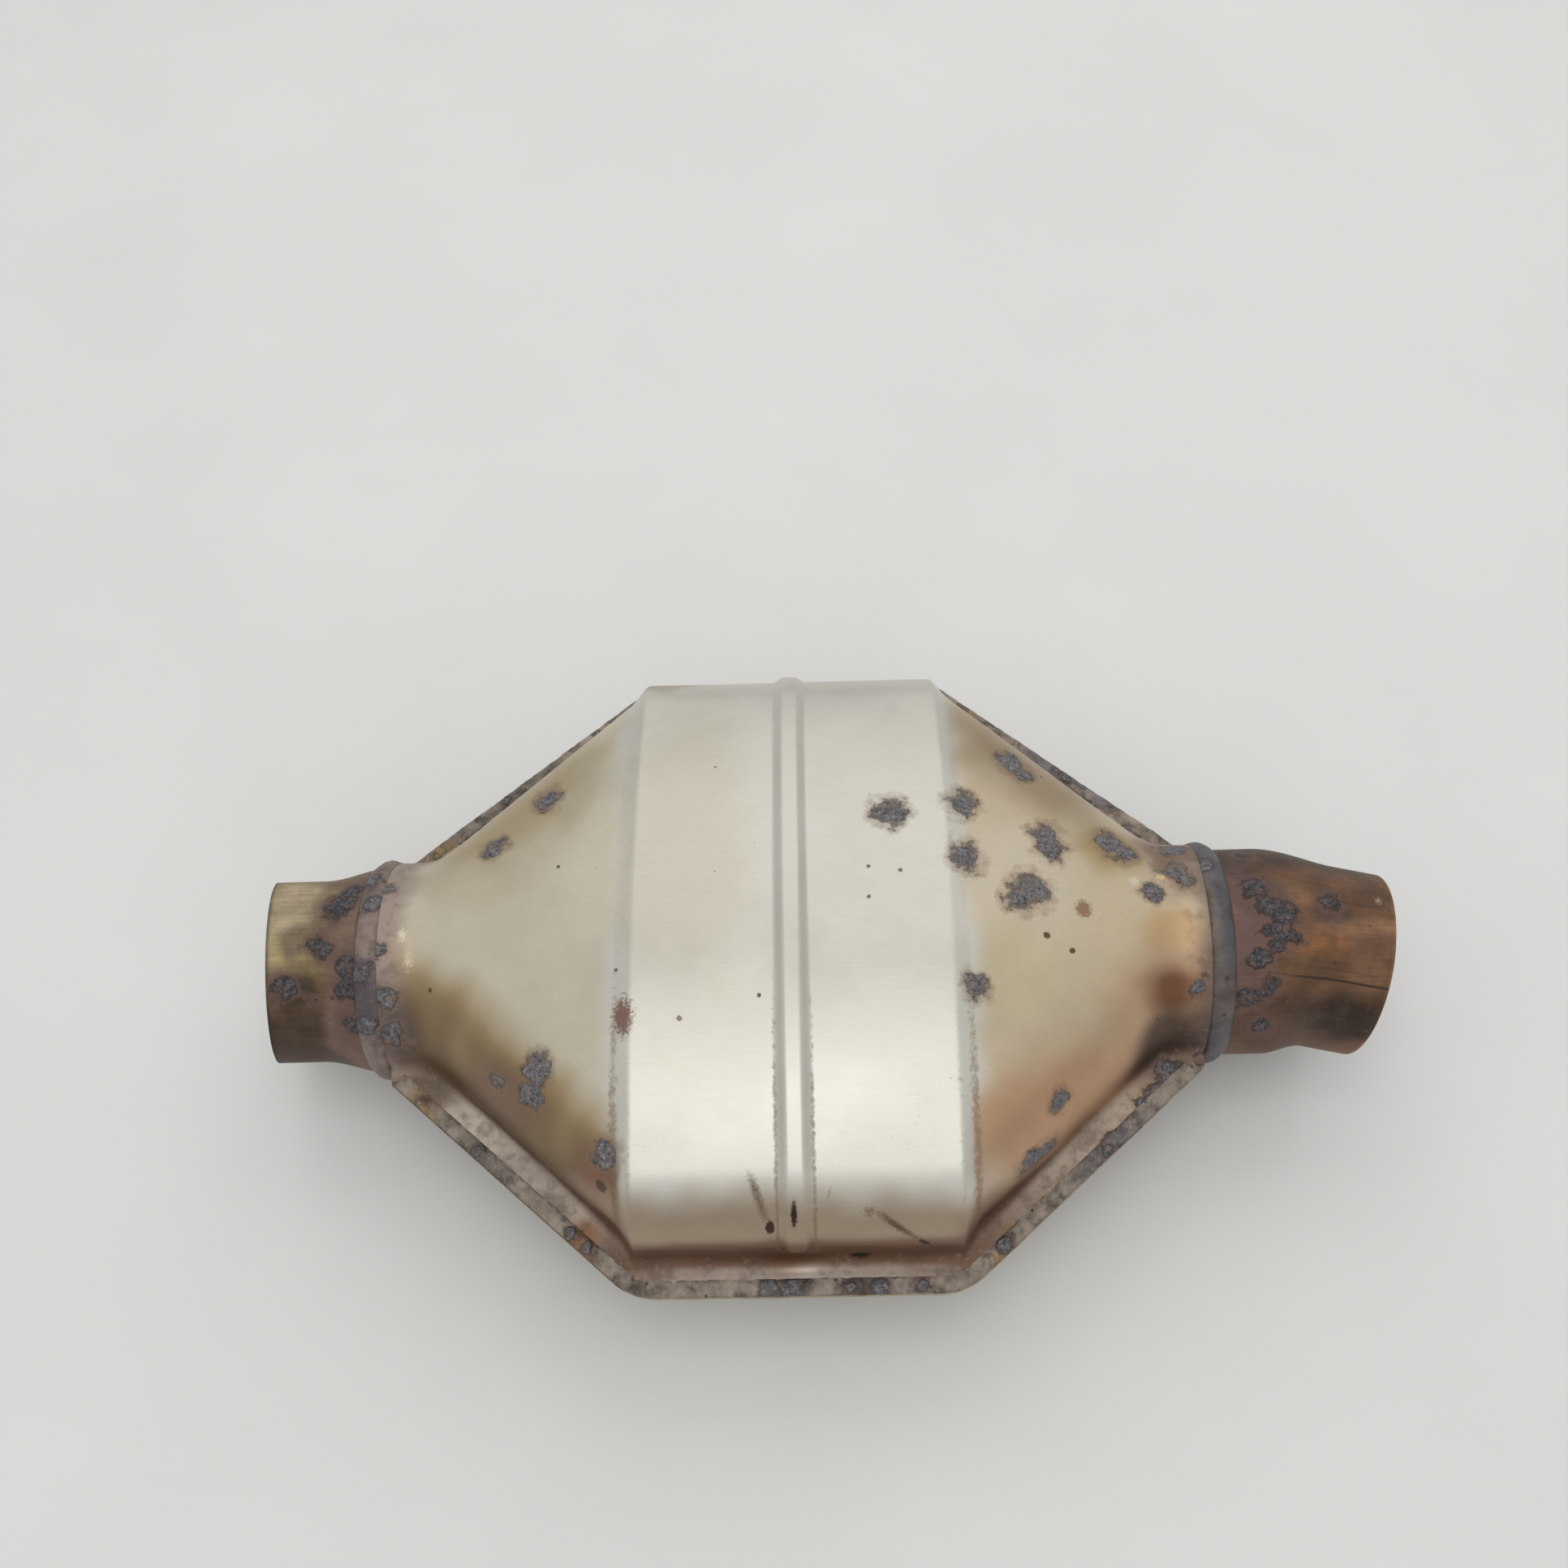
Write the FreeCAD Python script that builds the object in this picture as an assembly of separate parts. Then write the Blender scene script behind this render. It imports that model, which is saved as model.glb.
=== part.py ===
# Clamshell catalytic converter: two stamped half shells around an oval ceramic brick,
# with a swaged pipe stub welded into the neck at each end.
#
# Millimetres. +X runs with the gas, from the inlet to the outlet, and +Z is up.
# The origin is the centre of the inlet pipe's mouth, on the axis of the necks.
# The half shells meet on the plane z = 0.

import FreeCAD, Part
import math
import os

from FreeCAD import Vector

# ---------------------------------------------------------------- driving dimensions

# Can: the straight part of the body that holds the brick
can_half_length = 45.0
can_half_width = 91.5          # outer face of the upright skirt, from the middle
can_half_height = 44.5         # outer face of the crown, from the split plane
shoulder_radius = 26.0         # outer radius between the skirt and the crown
skirt_height = 13.4            # top of the upright skirt, above the split plane
skirt_lean = math.radians(14)  # how far the shoulder leans in where it leaves the skirt
root_radius = 3.7              # outer radius between the skirt and the flange

# Step between the can and each cone
step_length = 4.5
step_depth = 1.2               # drop of the crown
step_tuck = 7.0                # how far the skirt tucks in

# Cones and necks
cone_length = 58.5
neck_length = 16.0
neck_radius = 32.5             # outer radius
neck_tip_length = 4.5          # last part of the neck, which has no flange

# Sheet and stiffening bead round the middle of the can
shell_sheet = 1.5
bead_foot_width = 9.4
bead_crown_width = 4.6
bead_height = 1.7
bead_end_height = 10.4         # where the rounded ends of the bead stop, above the split
bead_inner_share = 0.5         # how fast the bead narrows through the sheet

# Flange: the lower one is wider and carries the seam weld
flange_reach = 10.0            # from the skirt of the can to the edge of the lower flange
flange_corner_past = 1.0       # sharp corner of the outline, past the end of the can
flange_end_reach = 4.761       # from the neck to the edge of the lower flange, where the flange ends
flange_corner_radius = 20.0
weld_land = 3.5                # how far the lower flange stands out past the upper one

# Seam weld along the edge of the upper flange
seam_edge_setback = 0.4
seam_shoulder_setback = 1.1
seam_shoulder_height = 0.95
seam_crown_setback = 2.3
seam_height = 1.5

# Pipe stubs
pipe_wall = 1.5
pipe_radius = 27.5             # outer radius of the open end
pipe_grip = 15.0               # length held inside the neck
inlet_wide_length = 3.0        # wide part that shows outside the neck
inlet_taper_length = 16.5
inlet_end_length = 14.5        # parallel open end, measured on the axis
swage_wide_share = 0.5         # how much of the taper eases in at its wide end
swage_narrow_share = 0.3       # and at its narrow end
inlet_cut_lean = 8.3           # degrees by which the sawn end leans back at the top
inlet_cut_swing = 5.0          # degrees by which the sawn end turns to the front
outlet_wide_length = 15.0
outlet_taper_length = 19.0
outlet_end_length = 13.5
outlet_bend = 12.6             # degrees turned along the taper
outlet_bend_plane = 45.0       # degrees below the split plane, towards the front
outlet_taper_rings = 6

# Ring welds between necks and pipes
ring_on_neck = 4.2             # reach over the neck
ring_on_pipe = 3.0             # reach along the pipe
ring_crown = 1.1               # stands above the neck
ring_crown_at = 1.26           # behind the neck's mouth

# Brick and what holds it
brick_setback = 1.0            # from the end of the can to the face of the brick
mat_thickness = 5.0
mesh_seal_width = 4.0
mat_joint_tongue = 26.0        # width of the tongue in the mat's joint
mat_joint_reach = 24.0         # length of the tongue
mat_joint_slot = 0.8

# Inner cones and the fibre between them and the shell
inner_sheet = 1.0
inner_cone_grip = 6.0          # length held inside the pipe
inner_cone_rim = 5.0           # inner cone's mouth, inside the edge of the brick
brick_face_gap = 0.8
fit_gap = 0.15                 # clearance between pieces that fit together

# ---------------------------------------------------------------- places worked out

neck_start = can_half_length + step_length + cone_length
cone_side_lean = math.atan((can_half_width - step_tuck - neck_radius) / cone_length)
neck_mouth = neck_start + neck_length
flange_end = neck_mouth - neck_tip_length
flange_half_width = can_half_width + flange_reach
flange_corner_at = can_half_length + flange_corner_past
flange_fall = flange_half_width - neck_radius - flange_end_reach
flange_slope = flange_fall / (flange_end - flange_corner_at)   # width over length, beside the cones
inlet_reach = neck_mouth + inlet_wide_length + inlet_taper_length + inlet_end_length
middle = inlet_reach           # x of the middle of the can
pipe_wide_radius = neck_radius - shell_sheet - fit_gap
pipe_inner_end = neck_mouth - pipe_grip
brick_half_length = can_half_length - brick_setback
brick_inset = shell_sheet + mat_thickness + 2 * fit_gap
root_height = shell_sheet + root_radius


# ---------------------------------------------------------------- sections

def point(x, y, z):
    return Vector(middle + x, y, z)


def arc(x, centre, radius, start, end):
    """Arc in the plane at x: centre is (y, z), angles run from +Y towards +Z."""
    def at(angle):
        return point(x, centre[0] + radius * math.cos(angle), centre[1] + radius * math.sin(angle))
    return Part.Arc(at(start), at((start + end) / 2), at(end)).toShape()


def line(a, b):
    return Part.LineSegment(a, b).toShape()


def oval_arcs(half_width, half_height):
    """Centres and radii of the shoulder and crown arcs, and the angle where they meet."""
    shoulder = (half_width - shoulder_radius * math.cos(skirt_lean),
                skirt_height - shoulder_radius * math.sin(skirt_lean))
    drop = shoulder[1] - half_height
    crown_radius = (shoulder_radius ** 2 - shoulder[0] ** 2 - drop ** 2) / (2 * (drop + shoulder_radius))
    crown = (0.0, half_height - crown_radius)
    meet = math.atan2(shoulder[1] - crown[1], shoulder[0])
    return shoulder, crown, crown_radius, meet


can_oval = (can_half_width, can_half_height)
cone_oval = (can_half_width - step_tuck, can_half_height - step_depth)
crown_meet = oval_arcs(*cone_oval)[3]


def oval_half(x, oval, inset, foot):
    """Edges of one side of an oval section above the split, from its foot to its crown."""
    half_width, half_height = oval
    shoulder, crown, crown_radius, meet = oval_arcs(half_width, half_height)
    skirt = half_width - inset
    low = math.acos((skirt - shoulder[0]) / (shoulder_radius - inset))
    skirt_top = shoulder[1] + (shoulder_radius - inset) * math.sin(low)
    edges = []
    if foot:
        centre = (half_width + root_radius, root_height)
        edges.append(arc(x, centre, root_radius + inset, 1.5 * math.pi, math.pi))
        skirt_foot = root_height
    else:
        skirt_foot = 0.0
    edges.append(line(point(x, skirt, skirt_foot), point(x, skirt, skirt_top)))
    edges.append(arc(x, shoulder, shoulder_radius - inset, low, meet))
    edges.append(arc(x, crown, crown_radius - inset, meet, math.pi / 2))
    return edges


def round_half(x, radius, inset, foot):
    """Edges of one side of a round section above the split, split as the oval is."""
    edges = []
    low = 0.0
    if foot:
        low = math.asin(root_height / (radius + root_radius))
        centre = ((radius + root_radius) * math.cos(low), root_height)
        edges.append(arc(x, centre, root_radius + inset, 1.5 * math.pi, math.pi + low))
    edges.append(arc(x, (0.0, 0.0), radius - inset, low, skirt_lean))
    edges.append(arc(x, (0.0, 0.0), radius - inset, skirt_lean, crown_meet))
    edges.append(arc(x, (0.0, 0.0), radius - inset, crown_meet, math.pi / 2))
    return edges


def half_wire(x, side):
    """Closed wire of a half section: both sides, down to the split plane and across it."""
    other = [edge.mirror(point(x, 0, 0), Vector(0, 1, 0)) for edge in side]
    foot_point = min(side[0].Vertexes, key=lambda v: v.Point.z).Point
    edges = list(side) + other
    right = Vector(foot_point.x, foot_point.y, 0)
    left = Vector(foot_point.x, -foot_point.y, 0)
    if foot_point.z > 1e-6:
        edges.append(line(foot_point, right))
        edges.append(line(Vector(foot_point.x, -foot_point.y, foot_point.z), left))
    edges.append(line(right, left))
    return Part.Wire(Part.__sortEdges__(edges))


def whole_wire(x, side):
    """Closed wire of a whole section, the same above and below the split plane."""
    across = [edge.mirror(point(x, 0, 0), Vector(0, 1, 0)) for edge in side]
    below = [edge.mirror(point(x, 0, 0), Vector(0, 0, 1)) for edge in side + across]
    return Part.Wire(Part.__sortEdges__(side + across + below))


def loft(wires):
    return Part.makeLoft(wires, True, True)


def below(shape):
    """The same shape on the other side of the split plane."""
    return shape.mirror(Vector(0, 0, 0), Vector(0, 0, 1))


# ---------------------------------------------------------------- half shells

def drawn_back(x, inset):
    """Where a section that lies inset from the outer face belongs, so that the sheet stays even."""
    return x - inset * math.tan(cone_side_lean / 2)


def dome(inset):
    """Upper half of the can, cones and necks as one form, set in from the outer face."""
    stations = [
        (flange_end, round_half, neck_radius),
        (drawn_back(neck_start, inset), round_half, neck_radius),
        (drawn_back(can_half_length + step_length, inset), oval_half, cone_oval),
        (drawn_back(can_half_length, inset), oval_half, can_oval),
    ]
    wires = [half_wire(-x, make(-x, size, inset, True)) for x, make, size in stations]
    wires += [half_wire(x, make(x, size, inset, True)) for x, make, size in reversed(stations)]
    return loft(wires)


def bead(inset):
    """Bead round the can, as a full half form, with rounded ends above the flange."""
    narrowing = inset * bead_inner_share
    foot = bead_foot_width / 2 - narrowing
    crown = bead_crown_width / 2 - narrowing
    stations = [(-foot, inset), (-crown, inset - bead_height), (crown, inset - bead_height), (foot, inset)]
    form = loft([half_wire(x, oval_half(x, can_oval, depth, False)) for x, depth in stations])
    reach = can_half_width + bead_height + shell_sheet
    low = bead_end_height + narrowing
    end = Part.makeCylinder(foot, 2 * reach, point(0, -reach, low + foot), Vector(0, 1, 0))
    side = Part.makeBox(2 * foot, 2 * reach, can_half_height, point(-foot, -reach, low + foot))
    return form.common(end.fuse(side))


def flange_line(inset, side, z):
    """Points of the flange outline on one side, set in from the edge of the lower flange."""
    width = flange_half_width - inset
    run = math.hypot(1, flange_slope)
    corner = flange_corner_at + inset * (1 - run) / flange_slope
    end_width = width - (flange_end - corner) * flange_slope
    radius = flange_corner_radius - inset
    bend = math.atan(flange_slope)
    back = radius * math.tan(bend / 2)
    along = Vector(math.cos(bend), -math.sin(bend), 0)
    start = Vector(corner - back, width, 0)
    finish = Vector(corner, width, 0) + along * back
    centre = Vector(corner - back, width - radius, 0)
    mid = centre + Vector(math.sin(bend / 2), math.cos(bend / 2), 0) * radius
    quarter = [Vector(flange_end, end_width, 0), finish, mid, start]
    points = quarter + [Vector(-p.x, p.y, 0) for p in reversed(quarter)]
    return [point(p.x, side * p.y, z) for p in points]


def flange_edges(inset, side, z):
    p = flange_line(inset, side, z)
    return [
        line(p[0], p[1]),
        Part.Arc(p[1], p[2], p[3]).toShape(),
        line(p[3], p[4]),
        Part.Arc(p[4], p[5], p[6]).toShape(),
        line(p[6], p[7]),
    ]


def flange_plate(inset):
    front = flange_line(inset, -1, 0)
    rear = flange_line(inset, 1, 0)
    edges = flange_edges(inset, -1, 0) + flange_edges(inset, 1, 0)
    edges += [line(front[0], rear[0]), line(front[-1], rear[-1])]
    wire = Part.Wire(Part.__sortEdges__(edges))
    return Part.Face(wire).extrude(Vector(0, 0, shell_sheet))


def neck_tip(radius, side):
    """Half round of the neck that stands out past the end of the flange."""
    start = point(side * flange_end, 0, 0)
    solid = Part.makeCylinder(radius, neck_tip_length, start, Vector(side, 0, 0))
    keep = Part.makeBox(4 * neck_mouth, 4 * radius, 2 * radius, point(-2 * neck_mouth, -2 * radius, 0))
    return solid.common(keep)


def half_shell(flange_inset):
    outside = dome(0).fuse([
        bead(0),
        flange_plate(flange_inset),
        neck_tip(neck_radius, 1),
        neck_tip(neck_radius, -1),
    ])
    inside = dome(shell_sheet).fuse([
        bead(shell_sheet),
        neck_tip(neck_radius - shell_sheet, 1),
        neck_tip(neck_radius - shell_sheet, -1),
    ])
    return outside.cut(inside).removeSplitter()


# ---------------------------------------------------------------- welds

def seam_weld(side, shell):
    """Fillet weld on the lower flange's land, up to the upper flange's edge and the necks' roots."""
    levels = [
        (0.0, seam_edge_setback),
        (seam_shoulder_height, seam_shoulder_setback),
        (seam_height, seam_crown_setback),
    ]
    wires = []
    for z, setback in levels:
        outer = flange_line(setback, side, z)
        inner = flange_line(weld_land, side, z)
        edges = flange_edges(setback, side, z) + flange_edges(weld_land, side, z)
        edges += [line(outer[0], inner[0]), line(outer[-1], inner[-1])]
        wires.append(Part.Wire(Part.__sortEdges__(edges)))
    trimmed = loft(wires).cut(shell)
    return max(trimmed.Solids, key=lambda solid: solid.Volume)


def ring_weld(side):
    """Ring weld over the end of the neck and down to the pipe."""
    def at(along, radius):
        return point(side * (neck_mouth + along), 0, radius)
    top = at(-ring_crown_at, neck_radius + ring_crown)
    edges = [
        Part.Arc(at(-ring_on_neck, neck_radius), top, at(ring_on_pipe, pipe_wide_radius)).toShape(),
        line(at(ring_on_pipe, pipe_wide_radius), at(0, pipe_wide_radius)),
        line(at(0, pipe_wide_radius), at(0, neck_radius)),
        line(at(0, neck_radius), at(-ring_on_neck, neck_radius)),
    ]
    face = Part.Face(Part.Wire(edges))
    return face.revolve(point(0, 0, 0), Vector(1, 0, 0), 360)


# ---------------------------------------------------------------- pipe stubs

def swage_edge(start, end):
    """S-curve in the x-z plane from one radius to the other, level at both ends."""
    run = Vector(end.x - start.x, 0, 0)
    curve = Part.BezierCurve()
    curve.setPoles([start, start + run * swage_wide_share, end - run * swage_narrow_share, end])
    return curve.toShape()


def inlet_body(inset):
    """Solid of the inlet stub, set in from its outer face, before its end is sawn."""
    wide = pipe_wide_radius - inset
    narrow = pipe_radius - inset
    inner_end = -pipe_inner_end
    taper_start = -(neck_mouth + inlet_wide_length)
    taper_end = taper_start - inlet_taper_length
    open_end = -inlet_reach - pipe_radius
    profile = [
        line(point(inner_end, 0, 0), point(inner_end, 0, wide)),
        line(point(inner_end, 0, wide), point(taper_start, 0, wide)),
        swage_edge(point(taper_start, 0, wide), point(taper_end, 0, narrow)),
        line(point(taper_end, 0, narrow), point(open_end, 0, narrow)),
        line(point(open_end, 0, narrow), point(open_end, 0, 0)),
        line(point(open_end, 0, 0), point(inner_end, 0, 0)),
    ]
    return Part.Face(Part.Wire(profile)).revolve(point(0, 0, 0), Vector(1, 0, 0), 360)


def inlet_pipe():
    tube = inlet_body(0).cut(inlet_body(pipe_wall))
    size = 4 * pipe_radius
    saw = Part.makeBox(size, size, size, Vector(-size, -size / 2, -size / 2))
    saw.rotate(Vector(0, 0, 0), Vector(0, 1, 0), inlet_cut_lean)
    saw.rotate(Vector(0, 0, 0), Vector(0, 0, 1), inlet_cut_swing)
    return tube.cut(saw)


def outlet_path(turned):
    """Point and heading on the outlet's axis once it has turned by that many degrees."""
    tilt = math.radians(outlet_bend_plane)
    aside = Vector(0, -math.cos(tilt), -math.sin(tilt))
    angle = math.radians(turned)
    bend_radius = outlet_taper_length / math.radians(outlet_bend)
    start = point(neck_mouth + outlet_wide_length, 0, 0)
    place = start + Vector(bend_radius * math.sin(angle), 0, 0) + aside * (bend_radius * (1 - math.cos(angle)))
    heading = Vector(math.cos(angle), 0, 0) + aside * math.sin(angle)
    return place, heading


def outlet_body(inset):
    wide = pipe_wide_radius - inset
    narrow = pipe_radius - inset
    straight = Part.makeCylinder(
        wide, pipe_grip + outlet_wide_length, point(pipe_inner_end, 0, 0), Vector(1, 0, 0))
    rings = []
    for ring in range(outlet_taper_rings + 1):
        share = ring / outlet_taper_rings
        place, heading = outlet_path(outlet_bend * share)
        radius = wide + (narrow - wide) * share * share * (3 - 2 * share)
        rings.append(Part.Wire(Part.makeCircle(radius, place, heading)))
    taper = Part.makeLoft(rings, True, False)
    place, heading = outlet_path(outlet_bend)
    end = Part.makeCylinder(narrow, outlet_end_length, place, heading)
    return straight.fuse([taper, end])


def outlet_pipe():
    return outlet_body(0).cut(outlet_body(pipe_wall)).removeSplitter()


# ---------------------------------------------------------------- brick, mat and seals

def oval_prism(inset, start, end):
    wires = [whole_wire(x, oval_half(x, can_oval, inset, False)) for x in (start, end)]
    return loft(wires)


def monolith():
    return oval_prism(brick_inset, -brick_half_length, brick_half_length)


def support_mat():
    """Swelling mat wrapped round the brick, closed by a tongue joint underneath."""
    half = brick_half_length - mesh_seal_width - fit_gap
    wrap = oval_prism(shell_sheet + fit_gap, -half, half)
    wrap = wrap.cut(oval_prism(brick_inset - fit_gap, -half, half))
    depth = 2 * mat_thickness + can_half_height
    low = -can_half_height - mat_thickness
    tongue = mat_joint_tongue / 2
    reach = mat_joint_reach / 2
    slots = [
        Part.makeBox(half - tongue, mat_joint_slot, depth, point(-half, reach, low)),
        Part.makeBox(half - tongue, mat_joint_slot, depth, point(tongue, reach, low)),
        Part.makeBox(2 * tongue, mat_joint_slot, depth, point(-tongue, -reach, low)),
        Part.makeBox(mat_joint_slot, 2 * reach + mat_joint_slot, depth, point(-tongue - mat_joint_slot, -reach, low)),
        Part.makeBox(mat_joint_slot, 2 * reach + mat_joint_slot, depth, point(tongue, -reach, low)),
    ]
    return wrap.cut(slots[0].fuse(slots[1:]))


def mesh_seal(side):
    """Knitted wire ring that keeps the gas off the edge of the mat."""
    low, high = sorted((side * brick_half_length, side * (brick_half_length - mesh_seal_width)))
    ring = oval_prism(shell_sheet + fit_gap, low, high)
    return ring.cut(oval_prism(brick_inset - fit_gap, low, high))


# ---------------------------------------------------------------- inner cones and fibre

def funnel(side, inset, mouth_inset):
    """Solid funnel from the pipe to the brick: inset at the pipe, mouth_inset at the brick."""
    pipe_bore = pipe_wide_radius - pipe_wall - fit_gap
    gripped_end = side * (pipe_inner_end + inner_cone_grip)
    cone_end = side * pipe_inner_end
    mouth = side * (brick_half_length + brick_face_gap)
    return loft([
        whole_wire(gripped_end, round_half(gripped_end, pipe_bore, inset, False)),
        whole_wire(cone_end, round_half(cone_end, pipe_bore, inset, False)),
        whole_wire(mouth, oval_half(mouth, cone_oval, mouth_inset, False)),
    ])


inner_cone_mouth = brick_inset - step_depth + inner_cone_rim


def inner_cone(side):
    return funnel(side, 0, inner_cone_mouth).cut(funnel(side, inner_sheet, inner_cone_mouth + inner_sheet))


def insulation(side):
    """Moulded fibre pad in the upper shell, between it and the inner cone."""
    inset = shell_sheet + fit_gap
    outer_end = drawn_back(neck_start, inset)
    inner_end = drawn_back(can_half_length + step_length, inset)
    outside = loft([
        half_wire(side * outer_end, round_half(side * outer_end, neck_radius, inset, False)),
        half_wire(side * inner_end, oval_half(side * inner_end, cone_oval, inset, False)),
    ])
    return outside.cut(funnel(side, -fit_gap, inner_cone_mouth - fit_gap))


# ---------------------------------------------------------------- writing the pieces

upper_shell = half_shell(weld_land)
upper_insulation = {side: insulation(side) for side in (-1, 1)}

pieces = {
    "upper_shell": upper_shell,
    "lower_shell": below(half_shell(0)),
    "front_seam_weld": seam_weld(-1, upper_shell),
    "rear_seam_weld": seam_weld(1, upper_shell),
    "inlet_pipe": inlet_pipe(),
    "outlet_pipe": outlet_pipe(),
    "inlet_ring_weld": ring_weld(-1),
    "outlet_ring_weld": ring_weld(1),
    "monolith": monolith(),
    "support_mat": support_mat(),
    "inlet_mesh_seal": mesh_seal(-1),
    "outlet_mesh_seal": mesh_seal(1),
    "inlet_inner_cone": inner_cone(-1),
    "outlet_inner_cone": inner_cone(1),
    "inlet_upper_insulation": upper_insulation[-1],
    "inlet_lower_insulation": below(upper_insulation[-1]),
    "outlet_upper_insulation": upper_insulation[1],
    "outlet_lower_insulation": below(upper_insulation[1]),
}

os.makedirs("parts", exist_ok=True)
for name, shape in pieces.items():
    shape.exportStep("parts/" + name + ".step")
    print(name, "valid" if shape.isValid() else "NOT VALID", len(shape.Solids), "solids,", round(shape.Volume), "mm3")
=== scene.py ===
import functools
import math

import bpy
import bmesh
import numpy as np
from mathutils import Matrix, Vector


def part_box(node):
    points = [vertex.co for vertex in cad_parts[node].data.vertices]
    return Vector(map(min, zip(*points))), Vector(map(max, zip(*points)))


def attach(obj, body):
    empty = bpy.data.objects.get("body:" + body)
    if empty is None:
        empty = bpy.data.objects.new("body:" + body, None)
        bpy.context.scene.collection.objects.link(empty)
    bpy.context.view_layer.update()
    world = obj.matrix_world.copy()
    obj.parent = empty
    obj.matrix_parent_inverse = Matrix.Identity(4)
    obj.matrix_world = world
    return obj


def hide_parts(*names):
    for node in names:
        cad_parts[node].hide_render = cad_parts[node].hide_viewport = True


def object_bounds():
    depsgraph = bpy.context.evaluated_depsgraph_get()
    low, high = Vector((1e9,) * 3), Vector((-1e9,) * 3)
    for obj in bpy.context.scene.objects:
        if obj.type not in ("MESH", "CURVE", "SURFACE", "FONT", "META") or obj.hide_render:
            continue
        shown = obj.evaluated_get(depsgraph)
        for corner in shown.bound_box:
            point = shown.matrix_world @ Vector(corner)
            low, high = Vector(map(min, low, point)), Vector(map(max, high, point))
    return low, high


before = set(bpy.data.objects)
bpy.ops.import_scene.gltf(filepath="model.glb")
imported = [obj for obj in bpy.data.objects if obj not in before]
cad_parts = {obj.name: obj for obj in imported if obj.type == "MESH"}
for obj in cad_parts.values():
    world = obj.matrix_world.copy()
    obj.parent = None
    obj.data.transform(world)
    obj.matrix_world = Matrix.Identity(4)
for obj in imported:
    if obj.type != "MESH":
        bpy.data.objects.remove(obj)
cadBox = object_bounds()
mm = 0.001
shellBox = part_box("upper_shell")
middle = (shellBox[0].x + shellBox[1].x) / 2 / mm   # x of the middle of the can, in mm
print("frame loaded, middle of the can at", round(middle, 2), "mm")


def toLinear(code):
    # sRGB hex to linear, by the standard curve
    value = np.array([int(code[i:i + 2], 16) for i in (1, 3, 5)]) / 255
    return np.where(value <= 0.04045, value / 12.92, ((value + 0.055) / 1.055) ** 2.4)


def colour(code):
    return (*toLinear(code), 1.0)


def smooth(value):
    # 0 below 0, 1 above 1, and a soft S between
    value = np.clip(value, 0, 1)
    return value * value * (3 - 2 * value)


def waves(points, size, seed, count=7):
    # unevenness from -1 to 1: a sum of sine waves in scattered directions, each about `size` mm long
    random = np.random.default_rng(seed)
    total = np.zeros(points.shape[:-1])
    for _ in range(count):
        direction = random.normal(size=3)
        direction *= random.uniform(0.6, 1.5) * 2 * math.pi / size / np.linalg.norm(direction)
        total += np.sin(points @ direction + random.uniform(0, 2 * math.pi))
    return total / math.sqrt(count) / 1.4


def gridQuads(rows, columns, wrap=False):
    # corner numbers of the quads of a grid whose last column joins the first, and its last row too if it wraps
    row, column = np.meshgrid(np.arange(rows if wrap else rows - 1), np.arange(columns), indexing="ij")
    low, high, after = row * columns, (row + 1) % rows * columns, (column + 1) % columns
    return np.stack([low + column, low + after, high + after, high + column], axis=-1).reshape(-1, 4)


def endCaps(rows, columns):
    # quads across the first and the last row, from one half of the row to the other
    caps = []
    for row in (0, rows - 1):
        first = row * columns + np.arange(columns // 2 - 1)
        other = row * columns + columns - 1 - np.arange(columns // 2 - 1)
        caps.append(np.stack([first, first + 1, other - 1, other], axis=1))
    return np.concatenate(caps)


def makePiece(name, points, quads, material, stands, sharp, fields):
    # points are in mm from the middle of the can, the mesh is in metres in the frame, and fields are values
    # per point
    shape = bpy.data.meshes.new(name)
    flat = points.reshape(-1, 3) + np.array([middle, 0, 0])
    shape.from_pydata((flat * mm).tolist(), [], quads.tolist())
    shape.update()
    for key, values in fields.items():
        kind, field = ("FLOAT", "value") if values.ndim == 1 else ("FLOAT_COLOR", "color")
        packed = values if values.ndim == 1 else np.pad(values, ((0, 0), (0, 1)), constant_values=1)
        shape.attributes.new(key, kind, "POINT").data.foreach_set(field, packed.astype(np.float32).ravel())
    work = bmesh.new()
    work.from_mesh(shape)
    bmesh.ops.recalc_face_normals(work, faces=work.faces)
    work.to_mesh(shape)
    work.free()
    shape.polygons.foreach_set("use_smooth", np.ones(len(shape.polygons), bool))
    shape.set_sharp_from_angle(angle=math.radians(sharp))
    shape.materials.append(material)
    piece = bpy.data.objects.new(name, shape)
    bpy.context.scene.collection.objects.link(piece)
    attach(piece, "root")
    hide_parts(*stands)
    print(name, len(shape.polygons), "faces")


# Heat tint, and in places painted shade, is laid on as patches of colour, one over the other. Places are x along,
# y across (negative to the front) and z up, in mm from the middle of the can. `side` keeps a patch on the cone of
# that side, and `wander` is how far its edge strays.

def cloud(at, radii, code, share=0.8, **more):
    # colour round a point, which fades out over three radii
    return {"at": at, "radii": radii, "colour": code, "share": share, **more}


def front(at, toward, soft, code, share=0.9, **more):
    # colour over everything past a point in one direction, with an edge `soft` mm wide
    return {"at": at, "toward": toward, "soft": soft, "colour": code, "share": share, **more}


def spot(at, size, code, share=0.9, **more):
    # a small mark of its own, drawn by the material: `core` is its full part, `turn` its angles in degrees
    return {"at": at, "size": size, "colour": code, "share": share, **more}


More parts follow.
